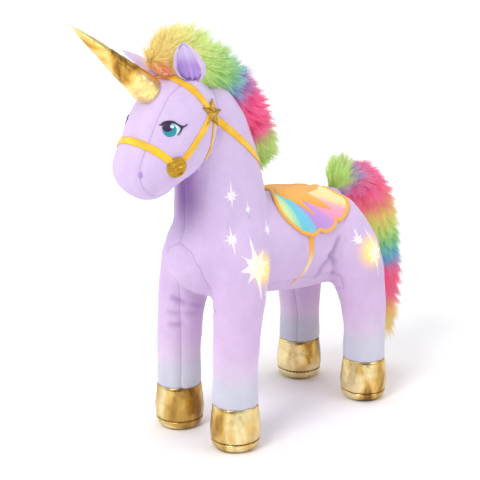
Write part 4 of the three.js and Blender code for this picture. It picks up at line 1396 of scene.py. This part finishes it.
# ---------------------------------------------------------------- ears
def ear_frame(side_name):
    side = SIDES[side_name]
    base = on_side(side, EAR_BASE)
    up = unit(vec(*EAR_TIPS[side_name]) - base)
    facing = on_side(side, (0.5, -0.86, 0))
    facing = unit(facing - up * (facing @ up))
    return base, np.cross(facing, up), facing, up


LEAF_SHARES, LEAF_WIDTHS = (0, 0.05, 0.2, 0.42, 0.7, 0.92, 1), (0.34, 0.45, 0.84, 1, 0.76, 0.34, 0.06)
RIM_STEPS = 5


def rolled(a, b):
    """Points of a rounded rim from a to b, each given as (x, y, angle round the cup)."""
    middle, half = (vec(*a[:2]) + vec(*b[:2])) / 2, (vec(*a[:2]) - vec(*b[:2])) / 2
    out = vec(-half[1], half[0])
    if out @ vec(math.cos(a[2]), math.sin(a[2])) * (1 if a[2] > 0 else -1) < 0:
        out = -out
    made = []
    for k in range(1, RIM_STEPS):
        angle = math.pi * k / RIM_STEPS
        spot = middle + half * math.cos(angle) + out * math.sin(angle) * 0.9
        made.append((spot[0], spot[1], a[2]))
    return made


def ear_sheet(name, side_name, wide, deep, thick, low, high, reach, fold=0.0):
    """A cupped leaf, open towards its facing, with a rolled rim."""
    base, across, facing, up = ear_frame(side_name)
    rows, columns = 26, 30
    verts = []
    for r in range(rows + 1):
        s = r / rows
        leaf = np.interp(s, LEAF_SHARES, LEAF_WIDTHS)
        z = low + (high - low) * s
        span = math.radians(reach) * (0.9 + 0.1 * math.sin(math.pi * s))
        ring = []
        for c in range(columns + 1):
            phi = -span + 2 * span * c / columns
            pinch = fold * math.exp(-((phi / 0.28) ** 2)) * (1 - s) ** 0.6
            w, d = wide * leaf, deep * leaf * (1 - 0.25 * s)
            ring.append((w * math.sin(phi), -d * math.cos(phi) + pinch, phi))
        t = thick * min(1, leaf * 1.6)
        inner = [(x - t * math.sin(phi), y + t * math.cos(phi), phi) for x, y, phi in reversed(ring)]
        loop = ring + rolled(ring[-1], inner[0]) + inner + rolled(inner[-1], ring[0])
        for x, y, _ in loop:
            soft = 0.25 * noise.noise(Vector((x / 6, y / 6, z / 6 + 3)))
            verts.append(base + across * x + facing * (y + soft) + up * z)
    count = len(loop)
    return outward(mesh_of(name, verts, tube_faces(rows + 1, count) + caps(rows + 1, count)))


for side_name in SIDES:
    body = "ear_" + side_name
    back = ear_sheet("plush_ear_" + side_name, side_name, 14, 6.6, 2.0, -2.2, 41, 122)
    for line in SEAM_LINES:
        set_attribute(back, line, np.full(len(back.vertices), CLEAR_OF_SEAMS))
    # the ear's back gets no painted crease shade
    set_attribute(back, "fold", np.zeros(len(back.vertices)))
    piece("plush_ear_" + side_name, back, PLUSH, body, "plush", "ear_back_" + side_name, padded=0.4)
    inside = ear_sheet("satin_ear_" + side_name, side_name, 11.6, 4.3, 0.7, 2.0, 38.6, 116, fold=3.0)
    piece("satin_ear_" + side_name, inside, LINING, body, "lining", "ear_lining_" + side_name)


# ---------------------------------------------------------------- mane and tail
MANE_LINE = [
    (0, -126, 352), (0, -114, 355), (0, -93, 350), (0, -66, 337),
    (0, -39, 315), (0, -20, 289), (0, -9, 266), (0, -8, 250),
]
MANE_DYE = [
    (0, "#FBE37E"),
    (0.6, "#F8EE88"),
    (1.2, "#EEF494"),
    (1.9, "#D8F288"),
    (2.5, "#C2E67C"),
    (2.95, "#A2DF7C"),
    (3.2, "#8FD8AE"),
    (3.45, "#8ACAE4"),
    (3.7, "#A08FD6"),
    (3.95, "#DC66B6"),
    (4.3, "#FF36A4"),
    (5.3, "#FF2C94"),
    (5.75, "#F272A4"),
    (6.0, "#D5E478"),
    (7, "#BEE064"),
]
TAIL_LINE = [
    (0, 113, 207), (0, 124, 214), (0, 143, 208), (0, 160, 187),
    (0, 170, 150), (0, 174, 112), (0, 177, 76), (0, 184, 54),
]
TAIL_DYE = [
    (0, "#C989C8"),
    (0.7, "#F26CB2"),
    (1.35, "#FF4CA0"),
    (1.9, "#FA7A90"),
    (2.2, "#F9B46C"),
    (2.55, "#F4E26C"),
    (3.1, "#D9E86C"),
    (3.5, "#9CE07A"),
    (3.8, "#6FD6B4"),
    (4.05, "#57C4E2"),
    (4.3, "#5AB8E8"),
    (4.55, "#F46CB0"),
    (5.0, "#FF3894"),
    (5.8, "#FA6CA4"),
    (6.2, "#F9CF6C"),
    (7, "#F5E07A"),
]


def line_shares(line, points):
    """Each point's place along a line, in stations, with the line's nearest point and heading there."""
    dense_t = np.linspace(0, len(line) - 1, 15 * len(line))
    dense = np.stack([np.interp(dense_t, range(len(line)), [p[k] for p in line]) for k in range(3)], 1)
    dense = smooth_path(dense, len(dense))
    gap = ((points[:, None] - dense[None]) ** 2).sum(-1)
    nearest = gap.argmin(1)
    heading = units(np.gradient(dense, axis=0))
    return dense_t[nearest], dense[nearest], heading[nearest]


def surface_samples(mesh, count):
    """Even random points of a mesh's surface."""
    a, b, c = corners_of(mesh)
    area = np.linalg.norm(np.cross(b - a, c - a), axis=1)
    pick = random.choice(len(area), count, p=area / area.sum())
    u, v = random.random(count), random.random(count)
    flip = u + v > 1
    u[flip], v[flip] = 1 - u[flip], 1 - v[flip]
    return a[pick] + u[:, None] * (b - a)[pick] + v[:, None] * (c - a)[pick]


def strands(name, root, middle, tip, colours, width):
    """Tapered three-sided strands on curves from root by middle to tip."""
    count, rings = len(root), 4
    shares = np.linspace(0, 0.8, rings)
    verts = np.empty((count, rings * 3 + 1, 3))
    run = tip - root
    side = units(np.cross(run, random.normal(size=run.shape)))
    other = np.cross(units(run), side)
    for r, s in enumerate(shares):
        centre = (1 - s) ** 2 * root + 2 * s * (1 - s) * middle + s * s * tip
        thick = (width * (1 - 0.75 * s))[:, None]
        for k, turn in enumerate(round_turn(3)):
            verts[:, r * 3 + k] = centre + thick * (side * math.cos(turn) + other * math.sin(turn))
    verts[:, -1] = tip
    start = np.arange(count)[:, None] * (rings * 3 + 1)
    tris = []
    for r in range(rings - 1):
        for k in range(3):
            a, b = r * 3 + k, r * 3 + (k + 1) % 3
            tris += [start + (a, b, b + 3), start + (a, b + 3, a + 3)]
    for k in range(3):
        tris.append(start + ((rings - 1) * 3 + k, (rings - 1) * 3 + (k + 1) % 3, rings * 3))
    tris.append(start + (2, 1, 0))
    mesh = mesh_of(name, verts.reshape(-1, 3), np.concatenate(tris))
    fade = np.concatenate([np.repeat(shares, 3), [1.0]])
    # painted shade: each strand is darker towards its root, deep in the hair, and a little lighter at its tip
    shade = 0.78 + 0.26 * fade
    tints = colours[:, None] * shade[None, :, None]
    pale = (0.34 * fade**2)[None, :, None]
    set_tint(mesh, np.clip(tints * (1 - pale) + pale, 0, 1).reshape(-1, 3))
    return mesh


STRANDS_IN_TUFT, CLUMPING, STRAND_RADIUS, FUR_PARTS, BACKING_SHARE = 34, 7, 0.33, 3, 0.62


def lifted_off_skin(points, clearance):
    """Points near the skin, moved out until they are clearance above it, by 6 mm at most."""
    moved = points.copy()
    for i, p in enumerate(points):
        spot, normal, _, _ = skin.find_nearest(Vector(p), 12)
        if spot:
            height = (p - vec(*spot)) @ vec(*normal)
            moved[i] += vec(*normal) * min(max(clearance - height, 0), 6)
    return moved


def coat(node, body, line, dye, count, lean, overshoot, paint, keep_out=None, forward=None):
    """Long fur that fills a packed form: clumped strands from its middle line to its surface."""
    form = remeshed([node], 3.0, rounds=4)
    spots = surface_samples(form, count)
    t, centre, heading = line_shares(line, spots)
    tufts = surface_samples(form, max(60, count // STRANDS_IN_TUFT))
    nearest = np.empty(count, int)
    for start in range(0, count, 2000):
        gap = ((spots[start : start + 2000, None] - tufts[None]) ** 2).sum(-1)
        nearest[start : start + 2000] = gap.argmin(1)
    pull = tufts[nearest] - spots
    far = np.linalg.norm(pull, axis=1, keepdims=True)
    pull *= np.minimum(1, CLUMPING / np.maximum(far, 1e-6))
    out = spots - centre
    length = np.linalg.norm(out, axis=1, keepdims=True)
    out /= np.maximum(length, 1e-6)
    fluff = random.random((count, 1))
    tuft_fluff = random.random((len(tufts), 1))[nearest]
    tip = spots + 0.5 * pull + out * (overshoot * (0.6 * tuft_fluff + 0.7 * fluff**2) - 1.5)
    tip += heading * lean * (0.25 + 0.4 * fluff)
    tip += random.normal(size=tip.shape) * 0.8
    if forward is not None:
        tip += forward(spots) * random.random((count, 1))
    root = centre + (spots - centre) * (0.12 + 0.4 * random.random((count, 1))) - heading * lean * 0.5
    middle = 0.42 * root + 0.58 * tip + out * 0.14 * length + random.normal(size=tip.shape) * 0.9
    hue = t + random.normal(size=count) * 0.09 + 0.12 * (random.random(len(tufts))[nearest] - 0.5)
    colours = paint(spots, sweep_by_ramp(hue, dye))
    colours *= 0.9 + 0.2 * random.random((count, 1))
    good = ~keep_out(root, middle, tip) if keep_out else np.ones(count, bool)
    if body == "toy":
        tip = lifted_off_skin(tip, 1.2)
        middle = lifted_off_skin(middle, 1.5)
    order = np.argsort(t[good])
    for number, share in enumerate(np.array_split(order, FUR_PARTS), 1):
        pick = np.flatnonzero(good)[share]
        thick = STRAND_RADIUS * (0.7 + 0.6 * random.random(len(pick)))
        part = strands(f"{node}_fur_{number}", root[pick], middle[pick], tip[pick], colours[pick], thick)
        replaced = [node] if number == 1 else []
        piece(f"{node}_fur_{number}", part, FUR, body, "fur", *replaced)
    co = coordinates(form)
    share, near_line, _ = line_shares(line, co)
    set_coordinates(form, near_line + (co - near_line) * BACKING_SHARE)
    # painted shade: the backing inside the hair is tinted darker, as the shade deep among the strands
    set_tint(form, paint(co, sweep_by_ramp(share, dye)) * 0.8)
    piece(node + "_backing", smooth(form), FUR, body, "fur", padded=0.5)


EAR_ROOM = [((25, -111, 345), 16.5), ((29, -117, 356), 14)]


def through_ears(root, middle, tip):
    """True for strands that would run through the room that the ears need."""
    blocked = np.zeros(len(tip), bool)
    for side in SIDES.values():
        for centre, radius in EAR_ROOM:
            for points in (root, (root + middle) / 2, middle, (middle + tip) / 2, tip):
                blocked |= np.linalg.norm(points - on_side(side, centre), axis=1) < radius
    return blocked


def tinted(colours, share, hex_colour):
    """Colours mixed with one colour, by a share from 0 to 1 for each."""
    return colours * (1 - share[:, None]) + np.array(linear(hex_colour)[:3]) * share[:, None]


def tail_top(points, colours):
    """The lime tuft on top of the tail, with a little blue behind it."""
    y, z = points[:, 1], points[:, 2]
    lime = np.clip((18 - np.abs(z - 222)) / 6, 0, 1) * np.clip((122 - y) / 7, 0, 1)
    blue = bell(y - 123, 4) * (z > 214) * 0.75
    return tinted(tinted(colours, lime, "#CDEB78"), blue, "#8CC6EA")


def tuft_lean(points):
    """The tuft over the saddle end of the tail leans forwards."""
    front = np.clip((points[:, 2] - 212) / 6, 0, 1) * np.clip((122 - points[:, 1]) / 6, 0, 1)
    return front[:, None] * vec(0, -11, -3)


def mane_roots(points, colours):
    """The red and orange patches at the front foot of the mane."""
    away = np.linalg.norm(points - vec(0, -124, 341), axis=1)
    return tinted(tinted(colours, bell(away, 10), "#FBB45E"), bell(away, 7), "#F8564C")


share_of_hair = 1.0
mane_strands, tail_strands = int(24000 * share_of_hair), int(26000 * share_of_hair)
coat("mane", "toy", MANE_LINE, MANE_DYE, mane_strands, 10, 11, mane_roots, keep_out=through_ears)
coat("tail", "tail", TAIL_LINE, TAIL_DYE, tail_strands, 17, 9, tail_top, forward=tuft_lean)


# ---------------------------------------------------------------- battery case and lights
HARD = {
    "battery_case": PLASTIC,
    "battery_cover": PLASTIC,
    "push_button": BUTTON,
    **{f"battery_{number}": CELL for number in (1, 2, 3)},
    "cover_screw": STEEL,
    "circuit_board": BOARD,
    "led_harness": WIRE,
}
for side_name in SIDES:
    HARD["led_chest_" + side_name] = LAMP
    HARD["led_hip_" + side_name] = LAMP
for name, material in HARD.items():
    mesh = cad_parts[name].data
    mesh.materials.clear()
    mesh.materials.append(material)


# ---------------------------------------------------------------- floor
def make_floor():
    s = Shader("pale_floor", "#F7F7F8", 0.9)
    s.colour(s.ramp(s.noise(3, 2), [(0.3, "#F5F5F7"), (0.7, "#F8F8F9")]))
    away = s.node("ShaderNodeVectorMath", {0: s.place}, output=1, operation="LENGTH")
    s.shine(s.ramp(s.span(away, 0.25, 1.6), [(0.0, "#000000"), (1.0, "#FFFFFF")]), 0.5)
    floor = linked("floor", bpy.data.meshes.new("floor"))
    floor.data.from_pydata([(-8, -8, 0), (8, -8, 0), (8, 8, 0), (-8, 8, 0)], [], [(0, 1, 2, 3)])
    floor.data.materials.append(s.material)


make_floor()
